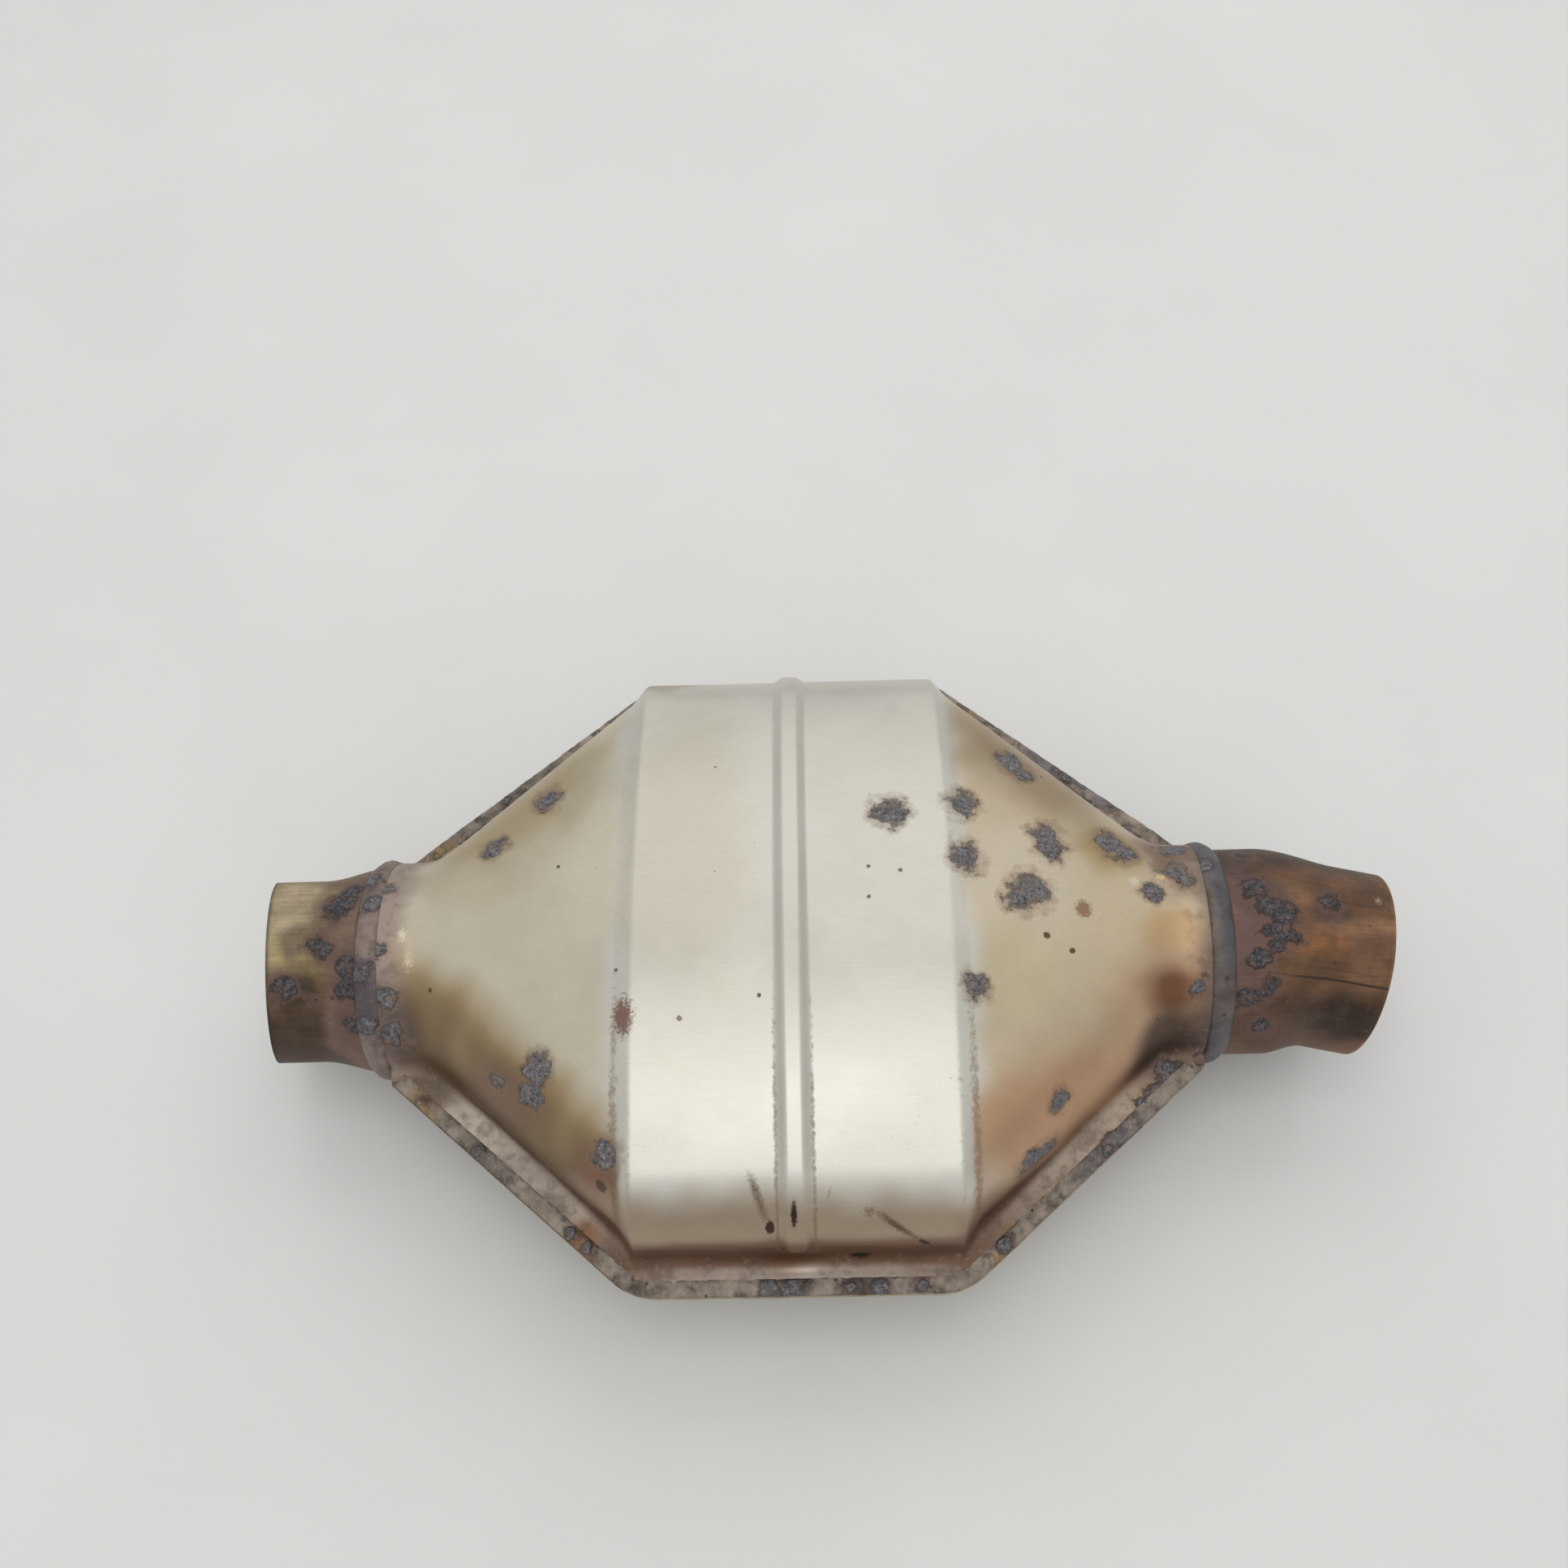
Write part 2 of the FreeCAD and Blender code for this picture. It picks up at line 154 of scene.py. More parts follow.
def heatTintAndShade(points, look, seed):
    tint = np.tile(toLinear(look["ground"]), (len(points), 1))
    wander = np.stack([waves(points, 46, seed + k) for k in range(3)], axis=1)
    wander += 0.45 * np.stack([waves(points, 15, seed + 10 + k) for k in range(3)], axis=1)
    for patch in look["patches"]:
        away = points - np.array(patch["at"], float)
        if "toward" in patch:
            depth = away @ np.array(patch["toward"], float) / patch["soft"]
            share = smooth(depth + 0.5 + wander[:, 0] * patch.get("wander", 0.25))
        else:
            away = away / np.array(patch["radii"], float) + wander * patch.get("wander", 0.16)
            share = smooth(1.5 * (1 - np.linalg.norm(away, axis=1)))
        if "side" in patch:
            share = share * smooth((points[:, 0] * patch["side"] - 46.5) / 3.5)
        tint += (toLinear(patch["colour"]) - tint) * (patch["share"] * share)[:, None]
    return tint


def crustField(points, crusts):
    # 1 in the middle of a scab of scale and 0 at twice its radius; a scab is x, y, z and radius
    field = np.zeros(len(points))
    for crust in crusts:
        away = np.linalg.norm((points - np.array(crust[:3], float)) / crust[3], axis=1)
        field = np.maximum(field, np.clip(1 - away / 2, 0, 1))
    return field


def addNode(tree, kind, *inputs, out=0, stops=(), **settings):
    # one shader node: inputs go into its sockets in order, or by name from a dictionary, each a value or
    # another node's output to link; settings are the node's own properties, stops a ramp's; gives the output
    # socket `out`
    node = tree.nodes.new("ShaderNode" + kind)
    for key, value in settings.items():
        setattr(node, key, value)
    sockets = inputs[0] if inputs and isinstance(inputs[0], dict) else dict(enumerate(inputs))
    for key, value in sockets.items():
        if isinstance(value, bpy.types.NodeSocket):
            tree.links.new(value, node.inputs[key])
        else:
            node.inputs[key].default_value = value
    for number, (place, code) in enumerate(stops):
        ramp = node.color_ramp.elements
        stop = ramp[number] if number < 2 else ramp.new(place)
        stop.position = place
        stop.color = colour(code)
    return node.outputs[out] if node.outputs else None


def newMaterial(name):
    # an empty material, and addNode made ready for it
    material = bpy.data.materials.new(name)
    material.use_nodes = True
    material.node_tree.nodes.clear()
    return material, functools.partial(addNode, material.node_tree)


# node settings that come up again and again
plus, minus, times, largest, below = (
    {"operation": kind} for kind in ("ADD", "SUBTRACT", "MULTIPLY", "MAXIMUM", "LESS_THAN"))
eased = {"interpolation_type": "SMOOTHSTEP"}
layered = {"data_type": "RGBA", "out": 2}


def uneven(add, value, noise, amount):
    # value plus noise about zero, so that an edge cut from it comes out ragged
    return add("Math", value, add("Math", add("Math", noise, 0.5, **minus), amount, **times), **plus)


def oxideSteel(name, look, spots=()):
    # stamped ferritic stainless sheet, bright-rolled and then tinted by heat: satin, with a film of coloured oxide,
    # grey scabs of scale where salt has eaten in, brown dust and painted shade in the creases and fine rolling
    # lines
    material, add = newMaterial(name)
    place = add("TexCoord", out="Object")
    tint = add("Attribute", attribute_name="tint", out="Color")
    crust, dirtAndCreaseShade, worn = (add("Attribute", attribute_name=field, out="Fac") for field in ("crust", "dirtAndCreaseShade", "worn"))
    lines = add("Mapping", {"Vector": place, "Scale": look["lineStretch"]}, vector_type="TEXTURE")
    broad, edge, fine, speck, rusty, rolled = (
        add("TexNoise", {"Vector": vector, "Scale": 1 / (look[grain] * mm), "Detail": detail, "Roughness": rough})
        for vector, grain, detail, rough in (
            (place, "broadGrain", 4, 0.6), (place, "edgeGrain", 5, 0.62), (place, "fineGrain", 3, 0.7),
            (place, "speckGrain", 2, 0.6), (place, "rustGrain", 3, 0.6), (lines, "lineGrain", 2, 0.6)))

    # the tint, lighter and darker in clouds and along the rolling lines
    base = tint
    for noise, low, high, dark, light in ((broad, 0.3, 0.7, 1 - look["cloudDepth"], 1 + look["cloudDepth"]),
                                          (rolled, 0.35, 0.65, 1 - look["lineDepth"], 1)):
        shade = add("MapRange", noise, low, high, dark, light, **eased)
        grey = add("CombineColor", shade, shade, shade)
        base = add("Mix", {0: 1, 6: base, 7: grey}, blend_type="MULTIPLY", **layered)

    # brown dust and painted shade along the creases, and grime and pale dust in patches on the worn zones
    dirtAndShadeShare = add("MapRange", uneven(add, dirtAndCreaseShade, fine, 1.1), 0.38, 0.78, 0, look["dirtAndShadeShare"], **eased)
    grimeShare = add("MapRange", edge, 0.46, 0.66, 0, look["grimeShare"], **eased)
    frostShare = add("MapRange", fine, 0.55, 0.7, 0, look["grimeShare"] * 0.6, **eased)

    # stray pits: a dark dot in some of the cells, and fine specks that are thicker where a slow cloud is dense
    cells = add("TexVoronoi", {"Vector": place, "Scale": 1 / (look["pitSpacing"] * mm)})
    picked = add("SeparateColor", cells.node.outputs["Color"])
    chosen = add("Math", picked, look["pitShare"], **below)
    pitSize = add("MapRange", picked.node.outputs[1], 0, 1, 0.05, look["pitSize"] / look["pitSpacing"], **eased)
    pit = add("Math", chosen, add("Math", uneven(add, cells, speck, 0.09), pitSize, **below), **times)
    pepperFrom = look["pepperFrom"]
    pepper = add("MapRange", uneven(add, speck, broad, 0.5), pepperFrom, pepperFrom + 0.05, 0, 0.5, **eased)

    # scabs: the crust field with a ragged edge, a halo, and grains from near black to pale grey with rust
    # between
    ragged = uneven(add, crust, edge, look["ragged"])
    halo = add("MapRange", ragged, 0.22, 0.52, 0, look["haloShare"], **eased)
    scab = add("MapRange", ragged, 0.50, 0.70, 0, 1, **eased)
    grain = add("Math", add("Math", speck, 0.45, **times), add("Math", fine, 0.55, **times), **plus)
    grains = add("ValToRGB", grain, stops=look["scabColours"])
    rust = add("MapRange", rusty, 0.52, 0.68, 0, 0.7, **eased)
    grains = add("Mix", {0: rust, 6: grains, 7: colour(look["haloColour"])}, **layered)

    layers = [(dirtAndShadeShare, colour(look["dirtAndShadeColour"])),
              (add("Math", worn, grimeShare, **times), colour(look["grimeColour"])),
              (add("Math", worn, frostShare, **times), colour(look["frostColour"])),
              (add("Math", pit, 0.8, **times), colour(look["pitColour"])),
              (pepper, colour(look["pitColour"])), (halo, colour(look["haloColour"])), (scab, grains)]
    for mark in spots:
        away = add("Mapping", {"Vector": place, "Location": (np.array(mark["at"]) + [middle, 0, 0]) * mm,
                               "Rotation": np.radians(mark.get("turn", (0, 0, 0))),
                               "Scale": np.array(mark["size"]) * mm}, vector_type="TEXTURE")
        length = add("VectorMath", away, operation="LENGTH", out="Value")
        length = uneven(add, length, speck, mark.get("ragged", 0.8))
        share = add("MapRange", length, mark.get("core", 0.7), 1.05, mark["share"], 0, **eased)
        layers.append((share, colour(mark["colour"])))
    for share, coat in layers:
        base = add("Mix", {0: share, 6: base, 7: coat}, **layered)

    # the scale, and the dust and painted shade in the creases, are dull; the sheet is satin
    dull = add("Math", scab, add("Math", dirtAndShadeShare, 0.8, **times), **largest)
    dull = add("Math", dull, add("Math", worn, look["wornDull"], **times), **largest)
    satin = add("MapRange", broad, 0.25, 0.75, look["sheen"] - 0.05, look["sheen"] + 0.06, **eased)
    rough = add("Math", satin, add("Math", dull, 0.35, **times), **plus)
    metal = add("Math", look["metal"], add("Math", dull, look["metal"] * 0.7, **times), **minus)

    # scabs stand up and are pitted, and the sheet has faint rolling lines
    height = add("Math", scab, add("Math", grain, add("Math", edge, 0.8, **times), **plus), **times)
    height = add("Math", height, add("Math", pit, 0.8, **times), **minus)
    bump = add("Bump", {"Height": height, "Strength": 1, "Distance": 0.9 * mm})
    skin = add("Math", add("Math", rolled, 0.5, **times), add("Math", fine, look["skinFine"], **times), **plus)
    bump = add("Bump", {"Height": skin, "Strength": look["skin"], "Distance": 0.05 * mm, "Normal": bump})
    shader = add("BsdfPrincipled", {"Base Color": base, "Metallic": metal, "Roughness": rough, "Normal": bump})
    add("OutputMaterial", {"Surface": shader})
    return material


# grains, spacings and sizes are in mm
sheetLook = {
    "broadGrain": 30, "edgeGrain": 4.5, "fineGrain": 1.6, "speckGrain": 0.7, "rustGrain": 3.2, "ragged": 1.15,
    "lineStretch": (12, 1, 1), "lineGrain": 0.5, "lineDepth": 0.035, "cloudDepth": 0.05,
    # the crease colour serves for dust and painted shade alike
    "dirtAndShadeShare": 0.55, "dirtAndShadeColour": "#7a6046",
    "grimeShare": 0.45, "grimeColour": "#5e5044", "frostColour": "#b0aaa2", "wornDull": 0.45,
    "pepperFrom": 0.76, "pitSpacing": 9, "pitSize": 0.7, "pitShare": 0.16, "pitColour": "#4a3a2c",
    "haloShare": 0.5, "haloColour": "#8a7362",
    "scabColours": [(0.34, "#37332f"), (0.45, "#625f62"), (0.57, "#838186"), (0.68, "#aeaaa8")],
    "sheen": 0.40, "metal": 0.66, "skin": 0.25, "skinFine": 0.3,
}


# half shells: oval can, tucked step, cones and necks, stamped in one sheet; mm and radians
sheet = {
    "canHalfLength": 45.0, "canHalfWidth": 91.5, "canHalfHeight": 44.5,
    "shoulderRadius": 26.0, "skirtHeight": 13.4, "skirtLean": math.radians(14), "rootRadius": 3.7,
    "stepLength": 4.5, "stepDepth": 1.2, "stepTuck": 7.0,
    "coneLength": 58.5, "neckRadius": 32.5, "neckEnd": 124.0, "flangeEnd": 119.5,
    "thickness": 1.5, "beadFoot": 4.7, "beadCrown": 2.3, "beadHeight": 1.7, "beadEnd": 10.4,
    "flangeHalfWidth": 101.5, "flangeCorner": 46.0, "flangeSlope": 0.874, "flangeCornerRadius": 20.0,
    "weldLand": 3.5, "edgeRound": 0.35,
    "creaseNarrow": 2.2, "creaseWide": 17.0,      # how far the folds by the can and by the neck are rounded out
    "creaseChange": (62, 28),                     # where one gives way to the other, and over what length
    "dents": 0.16, "dentSize": 55,
}
counts = {"edge": 3, "flange": 6, "foot": 8, "skirt": 8, "shoulder": 26, "crown": 28}
stepEnd = sheet["canHalfLength"] + sheet["stepLength"]
neckStart = stepEnd + sheet["coneLength"]
rootHeight = sheet["thickness"] + sheet["rootRadius"]
sideLean = math.atan((sheet["canHalfWidth"] - sheet["stepTuck"] - sheet["neckRadius"]) / sheet["coneLength"])


def arcPoints(centre, radius, start, end, count):
    angle = np.linspace(start, end, count)
    return np.stack([centre[0] + radius * np.cos(angle), centre[1] + radius * np.sin(angle)], axis=1)


def ovalArcs(halfWidth, halfHeight):
    # shoulder arc leaves the skirt at its lean, and the crown arc carries on from it to be level at the top
    radius = sheet["shoulderRadius"]
    lean = sheet["skirtLean"]
    shoulder = (halfWidth - radius * math.cos(lean), sheet["skirtHeight"] - radius * math.sin(lean))
    drop = shoulder[1] - halfHeight
    crownRadius = (radius ** 2 - shoulder[0] ** 2 - drop ** 2) / (2 * (drop + radius))
    crown = (0.0, halfHeight - crownRadius)
    return shoulder, crown, crownRadius, math.atan2(shoulder[1] - crown[1], shoulder[0])


canOval = (sheet["canHalfWidth"], sheet["canHalfHeight"])
coneOval = (sheet["canHalfWidth"] - sheet["stepTuck"], sheet["canHalfHeight"] - sheet["stepDepth"])
crownMeet = ovalArcs(*coneOval)[3]


def joinRuns(runs):
    # runs of points end to end, each without the point that it shares with the one before
    return np.concatenate([runs[0]] + [run[1:] for run in runs[1:]])


def footArc(centre, inset, end):
    return arcPoints(centre, sheet["rootRadius"] + inset, 1.5 * math.pi, end, counts["foot"])


def ovalSide(oval, inset):
    # one side of an oval section: foot arc, upright skirt, shoulder arc, crown arc, as (y, z)
    shoulder, crown, crownRadius, meet = ovalArcs(*oval)
    skirt = oval[0] - inset
    reach = sheet["shoulderRadius"] - inset
    low = math.acos((skirt - shoulder[0]) / reach)
    skirtTop = shoulder[1] + reach * math.sin(low)
    return joinRuns([
        footArc((oval[0] + sheet["rootRadius"], rootHeight), inset, math.pi),
        np.stack([np.full(counts["skirt"], skirt), np.linspace(rootHeight, skirtTop, counts["skirt"])], axis=1),
        arcPoints(shoulder, reach, low, meet, counts["shoulder"]),
        arcPoints(crown, crownRadius - inset, meet, math.pi / 2, counts["crown"]),
    ])


def roundSide(radius, inset):
    # one side of a round section, split where the oval one is
    reach = radius + sheet["rootRadius"]
    low = math.asin(rootHeight / reach)
    turns = (low, sheet["skirtLean"], crownMeet, math.pi / 2)
    return joinRuns([footArc((reach * math.cos(low), rootHeight), inset, math.pi + low)] + [
        arcPoints((0, 0), radius - inset, start, end, counts[part])
        for start, end, part in zip(turns, turns[1:], ("skirt", "shoulder", "crown"))])


def softened(distance, places, values):
    # straight runs between the places, with the folds near the can rounded a little and those near the neck
    # more
    fine = np.arange(-160, 160, 0.25)
    plain = np.interp(np.abs(fine), places, values)
    rounded = []
    for width in (sheet["creaseNarrow"], sheet["creaseWide"]):
        window = np.hanning(int(width / 0.25) + 2)
        rounded.append(np.interp(distance, fine, np.convolve(plain, window / window.sum(), mode="same")))
    start, length = sheet["creaseChange"]
    share = smooth((np.abs(distance) - start) / length)
    return rounded[0] * (1 - share) + rounded[1] * share


def flangeEdge(distance, inset):
    # outline of the flange: straight beside the can, an arc, then a straight slope beside the cone
    slope = sheet["flangeSlope"]
    width = sheet["flangeHalfWidth"] - inset
    corner = sheet["flangeCorner"] + inset * (1 - math.hypot(1, slope)) / slope
    radius = sheet["flangeCornerRadius"] - inset
    bend = math.atan(slope)
    back = radius * math.tan(bend / 2)
    away = np.abs(distance)
    into = np.clip(away - corner + back, 0, radius)
    turned = width - radius + np.sqrt(np.maximum(radius ** 2 - into ** 2, 0))
    sloped = width - (away - corner) * slope
    return np.where(away < corner - back, width, np.where(away < corner + back * math.cos(bend), turned, sloped))


# x of the sections on one side of the middle: close together at the bead, the step, the neck and the flange's
# end
stationRuns = [(0, 6, 13), (6, 42, 27), (42, 53, 19), (53, 100, 36), (100, sheet["flangeEnd"] - 0.05, 16)]
neckRun = np.linspace(sheet["flangeEnd"] + 0.05, sheet["neckEnd"], 6)
oneSide = np.concatenate([joinRuns([np.linspace(*run) for run in stationRuns])[1:], neckRun])
stations = np.concatenate([-oneSide[::-1], [0.0], oneSide])


def shellSkin(inset, flangeInset):
    # skin of the upper half shell, set in from its outer face: at each station the section is a mix of three
    # matched sections (can, cone's foot, neck), the bead lifts it along its own normal, and the flange runs
    # out from its foot
    shift = inset * math.tan(sideLean / 2)
    places = [0, sheet["canHalfLength"] - shift, stepEnd - shift, neckStart - shift, 200]
    canShare = softened(stations, places, [1, 1, 0, 0, 0])
    coneShare = softened(stations, places, [0, 0, 1, 0, 0])
    neckShare = 1 - canShare - coneShare
    neckSide = roundSide(sheet["neckRadius"], inset)
    section = sum(share[:, None, None] * side for share, side in (
        (canShare, ovalSide(canOval, inset)), (coneShare, ovalSide(coneOval, inset)), (neckShare, neckSide)))

    # bead: height falls off with the distance from its middle line, which ends in a half round above the flange
    along = np.gradient(section, axis=1)
    normal = np.stack([along[..., 1], -along[..., 0]], axis=-1)
    normal /= np.linalg.norm(normal, axis=-1, keepdims=True)
    beneath = np.clip(sheet["beadEnd"] + sheet["beadFoot"] - section[..., 1], 0, None)
    off = np.hypot(np.abs(stations)[:, None], beneath)
    flank = sheet["beadFoot"] - sheet["beadCrown"] + 1.0
    lift = sheet["beadHeight"] * smooth((sheet["beadFoot"] + 0.5 - off) / flank)
    section = section + normal * lift[..., None]

    # flange: level from the foot to the edge, then down the edge
    footY = section[:, :1, 0]
    edge = np.maximum(flangeEdge(stations, flangeInset)[:, None], footY + 0.8)
    run = np.linspace(1, 0, counts["flange"] + 1)[None, :-1]
    flangeY = footY + (edge - sheet["edgeRound"] - footY) * run
    flange = np.stack([flangeY, np.full_like(flangeY, sheet["thickness"] - inset)], axis=-1)
    if inset:
        rimY = edge - np.linspace(0.1, 0.3, counts["edge"])
        rimZ = np.zeros(counts["edge"])
    else:
        rimY = edge - np.array([0.0, 0.0, sheet["edgeRound"] * 0.3])
        rimZ = np.array([0.0, sheet["thickness"] * 0.55, sheet["thickness"] * 0.88])
    rim = np.stack([rimY, np.broadcast_to(rimZ, rimY.shape)], axis=-1)
    side = np.concatenate([rim, flange, section], axis=1)

    # past the end of the flange the neck goes on round to the split
    tip = np.abs(stations) > sheet["flangeEnd"]
    arch = neckSide[counts["foot"] - 1:]
    low = math.asin(arch[0, 1] / (sheet["neckRadius"] - inset))
    lowCount = counts["edge"] + counts["flange"] + counts["foot"]
    tipLow = arcPoints((0, 0), sheet["neckRadius"] - inset, 0, low, lowCount)
    side[tip] = np.concatenate([tipLow[:-1], arch])[None]

    full = np.concatenate([side, side[:, -2::-1] * np.array([-1, 1])], axis=1)
    x = np.broadcast_to(stations[:, None], full.shape[:2])
    return np.concatenate([x[..., None], full], axis=-1)


def nearLine(away, line, width):
    # 1 on a line and less to both sides, as a bell
    return np.exp(-((away - line) / width) ** 2)


def halfShell(name, upper, material, tint, crusts):
    flangeInset = sheet["weldLand"] if upper else 0.0
    seed = 0 if upper else 1
    outer = shellSkin(0.0, flangeInset)
    inner = shellSkin(sheet["thickness"], flangeInset)
    # dents: the outer skin and the inner one move together, least where the halves meet
    push = sheet["dents"] * waves(outer, sheet["dentSize"], 3 + seed) * smooth((outer[..., 2] - 4) / 16)
    for skin in (outer, inner):
        skin[..., 2] += push
    loops = np.concatenate([outer, inner[:, ::-1]], axis=1)
    if not upper:
        loops = loops * np.array([1, 1, -1])
    rows, columns = loops.shape[:2]
    points = loops.reshape(-1, 3)
    away = np.abs(points[:, 0])
    height = np.abs(points[:, 2])

    # partly dust and partly painted shade: both edges of the step and the foot of the bead darken, mostly towards
    # the front
    stepLine = 0.85 * nearLine(away, stepEnd - 0.3, 1.9) + 0.5 * nearLine(away, sheet["canHalfLength"], 1.6)
    beadLine = 0.8 * nearLine(away, sheet["beadFoot"] + 0.4, 0.9)
    frontward = smooth((-points[:, 1] + 10) / 80)
    body = smooth((height - 5) / 6)
    dirtAndCreaseShade = body * (stepLine * (0.35 + 0.5 * frontward) + beadLine * (0.25 + 0.65 * frontward))

    # the root beside the cones is made darker and redder: painted shade in the crease between flange and cone;
    # and scale creeps in from the edge of the flange
    root = smooth((away - 45) / 8) * nearLine(height, 7.5, 6) * (0.7 + 0.3 * waves(points, 24, 8))
    colours = heatTintAndShade(points, tint, 5 + seed) * (1 - root[:, None] * np.array([0.50, 0.58, 0.60]))
    edgeGap = flangeEdge(points[:, 0], flangeInset) - np.abs(points[:, 1])
    creep = smooth((4 - height) / 2) * smooth((away - 40) / 12) * smooth(1 - edgeGap / 8)
    crust = np.maximum(crustField(points, crusts), creep * (0.36 + 0.14 * waves(points, 14, 9)))

    # the flange beside the cones and the necks are the worn zones
    worn = smooth((8.5 - height) / 4) * smooth((away + np.abs(points[:, 1]) - 96) / 8)
    worn = np.maximum(worn, 0.8 * smooth((away - 108) / 8))
    quads = np.concatenate([gridQuads(rows, columns), endCaps(rows, columns)])
    makePiece(name, loops, quads, material, [name.replace("Sheet", "_shell")], 35,
              {"tint": colours, "crust": crust, "dirtAndCreaseShade": dirtAndCreaseShade, "worn": worn})


# where heat has coloured the upper half, and the painted shade on its lower front shoulder and skirt
upperTint = {"ground": "#d3d0c7", "patches": [
    cloud((-30, 20, 44), (24, 90, 40), "#c9c3ae", 0.6),
    front((-52, 0, 0), (-1, 0, 0), 6, "#cfc7b2", side=-1),
    cloud((-84, 40, 24), (40, 42, 34), "#b5a380", 0.85, side=-1),
    cloud((-96, 12, 34), (26, 15, 20), "#c7bca4", 0.7, side=-1),
    front((-79, -35, 0), (-0.67, -0.74, 0), 12, "#a88f68", side=-1),
    front((-84, -41, 0), (-0.67, -0.74, 0), 16, "#7e674b", 0.95, side=-1),
    front((-92, -52, 0), (-0.67, -0.74, 0), 22, "#66503f", 0.85, side=-1),
    cloud((-82, -50, 22), (16, 14, 16), "#8a6d60", 0.6, side=-1),
    cloud((-54, -78, 14), (14, 20, 26), "#8a5f54", 0.7, side=-1),
    front((-113, 0, 0), (-1, 0, 0), 9, "#a6948b"),
    cloud((-118, -24, 16), (14, 16, 20), "#594c4c"),
    cloud((-112, 30, 14), (14, 16, 16), "#8a7358", 0.7),
    cloud((-110, -5, 32), (5, 11, 12), "#cdbda4", 0.4, wander=0.4),
    front((52, 0, 0), (1, 0, 0), 8, "#c8b799", side=1),
    cloud((72, 52, 24), (34, 40, 30), "#a48f74", side=1),
    cloud((64, 4, 40), (24, 26, 22), "#cdc2ae", side=1),
    cloud((62, -22, 40), (14, 18, 16), "#cabd9c", 0.7, side=1),
    cloud((93, 18, 34), (15, 13, 16), "#a88f60", 0.75, side=1),
    front((80, -38, 0), (0.62, -0.78, 0), 34, "#c09876", side=1),
    front((98, -56, 0), (0.68, -0.73, 0), 20, "#745443", side=1),
    cloud((109, -6, 31), (12, 9, 10), "#c6a477", 0.75, side=1),
    cloud((111, 9, 30), (10, 10, 12), "#8b6d62", 0.7, side=1, wander=0.4),
    cloud((111, -23, 23), (15, 13, 16), "#74452f", 0.85, side=1, wander=0.3),
    cloud((110, 21, 24), (14, 13, 16), "#7d5a50", 0.85, side=1),
    cloud((108, -33, 8), (24, 16, 18), "#473832", 0.9, side=1),
    front((117, 0, 0), (1, 0, 0), 7, "#6e5c58", 0.8),
    # painted shade, partly heat tint as well: the lower front shoulder and the skirt darken to brown towards the
    # flange
    front((0, -83.5, 27.5), (0, -0.75, -0.66), 11, "#a59078"),
    front((0, -92.2, 17), (0, -0.4, -0.92), 4, "#7a5a48", wander=0.2),
    cloud((0, -96, 7), (66, 12, 12.5), "#73523b", 0.97),
    cloud((52, -84, 8), (16, 16, 24), "#7c5d4a"),
    cloud((0, -99.8, 0), (78, 9.5, 4.2), "#c0b3a8", 1),
    cloud((0, 97, 6), (60, 14, 18), "#9c8c6e", 0.75),
    cloud((-40, 90, 18), (18, 14, 22), "#8a7250", 0.6),
    cloud((-84, -64, 1.2), (46, 44, 3.6), "#dacebf", 0.95),
    cloud((84, -64, 1.2), (46, 44, 3.6), "#c4b5a4", 0.95),
    cloud((-84, 64, 1.2), (46, 44, 3.2), "#8c7e68", 0.9),
    cloud((84, 64, 1.2), (46, 44, 3.2), "#7c7674", 0.9),
    cloud((-107, -43, 1.5), (14, 12, 4.5), "#74654f", 0.85, wander=0.5),
    cloud((-72, -78, 1.5), (10, 8, 4), "#7d6f62", 0.7, wander=0.6),
    cloud((-84, -68, 1.5), (12, 9, 4), "#87888a", 0.5, wander=0.5),
    cloud((-62, -84, 1.5), (8, 8, 4), "#a8754a", wander=0.5),
    cloud((62, -84, 1.5), (9, 8, 4), "#977a4c", 0.7, wander=0.5),
]}
upperCrusts = [
    (-87.6, 23.4, 33.2, 4.2), (-72.9, 39.9, 32.9, 4.8), (-71.4, -46, 31.5, 4.8), (-72.6, -51.5, 27.5, 5),
    (-84, -47, 24, 3.6), (-51.4, -70.5, 29.5, 5), (29, 27.1, 42.8, 5.2), (50.6, 30.5, 40.7, 5.2),
    (50.5, 11.8, 42.7, 5), (68.2, 2, 40, 5.6), (65, -0.5, 40, 4.8), (74.9, 21, 37.1, 5),
    (76, 16.5, 37.4, 4.6), (67, 49.5, 32, 5), (70, 46, 32, 4.2), (50.8, -28.1, 41.1, 4.2),
    (94, 20.5, 32.1, 5.2), (98, 17, 32, 4.2), (104, 3.5, 33, 3.4), (112.5, 12, 30, 5.2), (114, 22, 23, 6),
    (116, -21, 23, 3.6), (72.9, -56, 24.9, 3.8), (64.7, -69.4, 15.8, 5), (70, -66, 14, 4),
    (-119, 12, 29, 2.6), (-119, -8, 30, 3), (-118, -20, 24, 4.4), (-117, -27, 15, 5), (115, 8, 31, 2.6),
    (104, -48, 1.5, 5.5), (110, -40, 2.5, 5), (98, -56, 1.5, 4.5), (84, -70, 1.5, 4.4), (74, -77, 1.5, 3.6),
    (90, -60, 1.5, 3.6), (-76, -76, 1.5, 3.4), (-88, -65, 1.5, 4), (-99, -56, 1.5, 3.4),
    (-106, -48, 1.5, 3.6), (-65, -84, 1.5, 3.2), (86, 64, 1.5, 5.5), (98, 54, 1.5, 5.5), (108, 44, 1.5, 5),
    (74, 74, 1.5, 4), (-104, 48, 1.5, 5), (-92, 58, 1.5, 4), (-70, 76, 1.5, 3.6),
]
